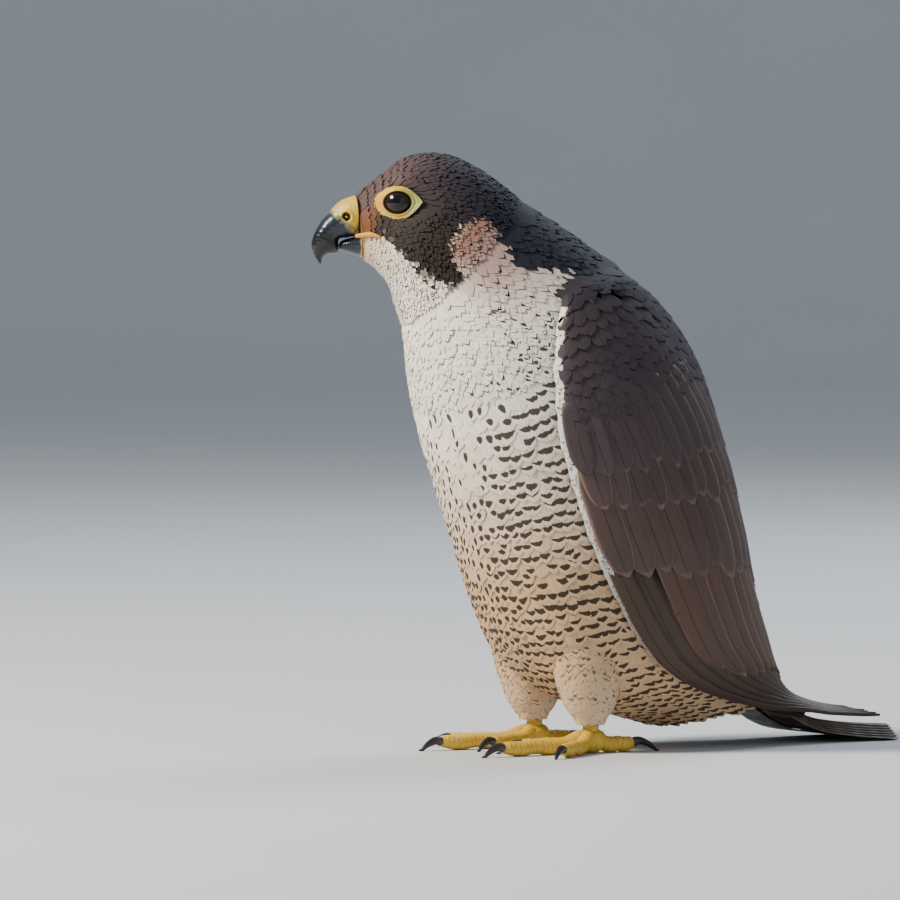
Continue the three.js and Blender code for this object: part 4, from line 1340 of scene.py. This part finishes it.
def cere_material():
    shader = Shader("cere", Roughness=0.4, Subsurface_Weight=0.12, **FLESH)
    run, pit, _ = shader.parts("place")
    grain = shader.noise(1300.0)
    broad = shader.noise(260.0)
    skin = shader.mix(YELLOW, tint(196, 180, 96), shader.step(run + (broad - 0.5) * 0.5, 0.55, 1.0))
    skin = shader.shaded(skin, 0.76 + grain * 0.4)
    # Painted shade: the nostril's hollow is painted nearly black for the dark inside its opening.
    skin = shader.mix(skin, tint(40, 30, 22), shader.step(pit, 0.35, 0.85) * 0.95)
    return shader.feed(Base_Color=skin, Normal=shader.bump(grain * 0.4 + broad, 0.0005))


def horn_material():
    shader = Shader("bill_horn", Roughness=0.28, Coat_Weight=0.15, Coat_Roughness=0.2)
    run, _, _ = shader.parts("place")
    grain = shader.noise(500.0, 3.0)
    growth = (run * 70.0 + grain * 3.0).math("SINE")
    place = run + (grain - 0.5) * 0.14
    horn = shader.mix(tint(168, 150, 96), tint(34, 42, 60), shader.step(place, 0.0, 0.09))
    horn = shader.mix(horn, tint(15, 17, 23), shader.step(place, 0.12, 0.42))
    return shader.feed(Base_Color=horn, Normal=shader.bump(growth * 0.3 + grain, 0.00012))


def claw_material():
    shader = Shader("claw_horn", Roughness=0.28, Coat_Weight=0.3, Coat_Roughness=0.2)
    run, _, _ = shader.parts("place")
    grain = shader.noise(600.0, 3.0)
    horn = shader.mix(tint(62, 58, 56), tint(20, 20, 23), shader.step(run + grain * 0.2, 0.1, 0.4))
    return shader.feed(Base_Color=horn, Normal=shader.bump(grain, 0.0001))


def scale_material():
    shader = Shader("foot_scales", Roughness=0.45, Subsurface_Weight=0.08, **FLESH)
    phase, _, _ = shader.parts("place")
    grain = shader.noise(700.0)
    crease = 1 - shader.step(phase, 0.0, 0.22) * (1 - shader.step(phase, 0.9, 1.0))
    skin = shader.mix(tint(222, 182, 62), tint(132, 100, 40), crease * 0.65)
    skin = shader.shaded(skin, 0.75 + grain * 0.45)
    return shader.feed(Base_Color=skin, Normal=shader.bump(grain, 0.0003))


def eye_material():
    surface = {"Roughness": 0.12, "Specular_IOR_Level": 0.3, "Coat_Weight": 0.35, "Coat_Roughness": 0.02}
    shader = Shader("eye", **surface)
    polar, turn, _ = shader.parts("place")
    fibre = shader.noise(3.0, 3.0, vector=shader.vector(turn * 4.0, polar * 2.0, 0.0))
    iris = shader.mix(tint(52, 30, 18), tint(24, 13, 9), fibre)
    pupil = 1 - shader.step(polar, 0.42, 0.47)
    return shader.feed(Base_Color=shader.mix(iris, (0.002, 0.002, 0.002), pupil))


def floor_material():
    shader = Shader("studio_floor", Roughness=0.8, Specular_IOR_Level=0.1)
    grain = shader.noise(3.0)
    return shader.feed(Base_Color=shader.mix(tint(214, 217, 220), tint(206, 209, 213), grain))


# Camera, light and stage
CAMERA_TURN = math.radians(58)
CAMERA_RISE = math.radians(2)
CAMERA_AWAY = 4.0
LENS, SENSOR = 363, 36
AIM_ACROSS, AIM_UP = -55.5, 132.2

# Turn from the camera's side, to the image's left if negative, rise, distance, size, power, colour
LIGHTS = {
    "key": (-68, 36, 2.4, 0.7, 104, (1.0, 0.91, 0.78)),
    "fill": (35, 15, 3.0, 2.4, 8, (0.86, 0.92, 1.0)),
    "rim": (150, 40, 2.6, 1.4, 38, (0.82, 0.9, 1.0)),
}
LIGHT_AIM = Vector((0, 0, 0.15))
SKY = (0.8, 0.9, 1.0, 1.0)
SKY_STRENGTH = 0.42
FLOOR_REACH = 6.0
WALL = 2.5  # radius of the curve from floor to wall


def aimed(thing, way, place):
    """Puts a camera or lamp at a place, looking against way."""
    thing.location = place
    thing.rotation_euler = way.to_track_quat("Z", "Y").to_euler()


def add_camera():
    across = np.array([math.cos(CAMERA_TURN), math.sin(CAMERA_TURN), 0])
    toward = np.array([math.sin(CAMERA_TURN), -math.cos(CAMERA_TURN), 0])
    aim = Vector(to_metres(across * AIM_ACROSS + np.array([0, 0, AIM_UP])))
    away = Vector(toward * math.cos(CAMERA_RISE) + np.array([0, 0, math.sin(CAMERA_RISE)]))
    data = bpy.data.cameras.new("camera")
    data.sensor_width = SENSOR
    data.lens = LENS
    camera = linked("camera", data)
    aimed(camera, away, aim + away * CAMERA_AWAY)
    bpy.context.scene.camera = camera


def add_light(name, turn, rise, away, size, power, colour):
    a, up = CAMERA_TURN + math.radians(turn), math.radians(rise)
    way = Vector((math.sin(a) * math.cos(up), -math.cos(a) * math.cos(up), math.sin(up)))
    data = bpy.data.lights.new(name, "AREA")
    data.shape = "DISK"
    data.size = size
    data.energy = power
    data.color = colour
    aimed(linked(name, data), way, LIGHT_AIM + way * away)


def add_stage(material):
    """A pale floor that rises into a far wall all round."""
    curve = np.linspace(0.1, np.pi / 2, 14)
    reach = np.concatenate([np.linspace(0.02, FLOOR_REACH, 26), FLOOR_REACH + WALL * np.sin(curve)])
    rise = np.concatenate([np.zeros(26), WALL * (1 - np.cos(curve))])
    rise[-1] += 2.0
    around = 72
    a = np.arange(around) * 2 * np.pi / around
    upright = rise[:, None] + 0 * a
    points = np.stack([reach[:, None] * np.cos(a), reach[:, None] * np.sin(a), upright], -1)
    loops, _ = ring_faces(len(reach), around)
    caps = 2 * around
    small_hole = loops[-caps:-around].tolist()
    faces = loops[:-caps].reshape(-1, 4).tolist() + [small_hole]
    mesh = bpy.data.meshes.new("stage")
    mesh.from_pydata(points.reshape(-1, 3).tolist(), [], faces)
    mesh.polygons.foreach_set("use_smooth", np.full(len(mesh.polygons), True))
    floor = linked("stage", mesh)
    mesh.materials.append(material)


def add_world():
    world = bpy.data.worlds.new("studio")
    world.use_nodes = True
    background = world.node_tree.nodes["Background"]
    background.inputs["Color"].default_value = SKY
    background.inputs["Strength"].default_value = SKY_STRENGTH
    bpy.context.scene.world = world


# Making
add_camera()
materials = {
    "feather": feather_material(),
    "vane": vane_material(),
    "ring": ring_material(),
    "cere": cere_material(),
    "horn": horn_material(),
    "claw": claw_material(),
    "scales": scale_material(),
    "eye": eye_material(),
}
feather = materials["feather"]
body_skin(skin_material())
for side in (1, -1):
    body_feathers(sided("feathers_head", side), HEAD_ROWS, feather, side)
    body_feathers(sided("feathers_neck", side), NECK_ROWS, feather, side)
body_feathers("feathers_breast", BREAST_ROWS, feather)
for side in (1, -1):
    thigh_feathers(side, feather)
    wing_feathers(side, materials["vane"])
    shoulder_feathers(side, feather)
    mantle_feathers(side, feather)
    wing_edge(side, feather)
    eyeball(side, materials["eye"])
    eye_ring(side, materials["ring"])
    mouth_lips(side, materials["ring"])
    foot_piece(side, materials["scales"])
    for toe in TOES:
        claw_piece(side, toe, materials["claw"])
tail_feathers(materials["vane"])
bill_pieces(materials)
add_stage(floor_material())
for name, settings in LIGHTS.items():
    add_light(name, *settings)
add_world()
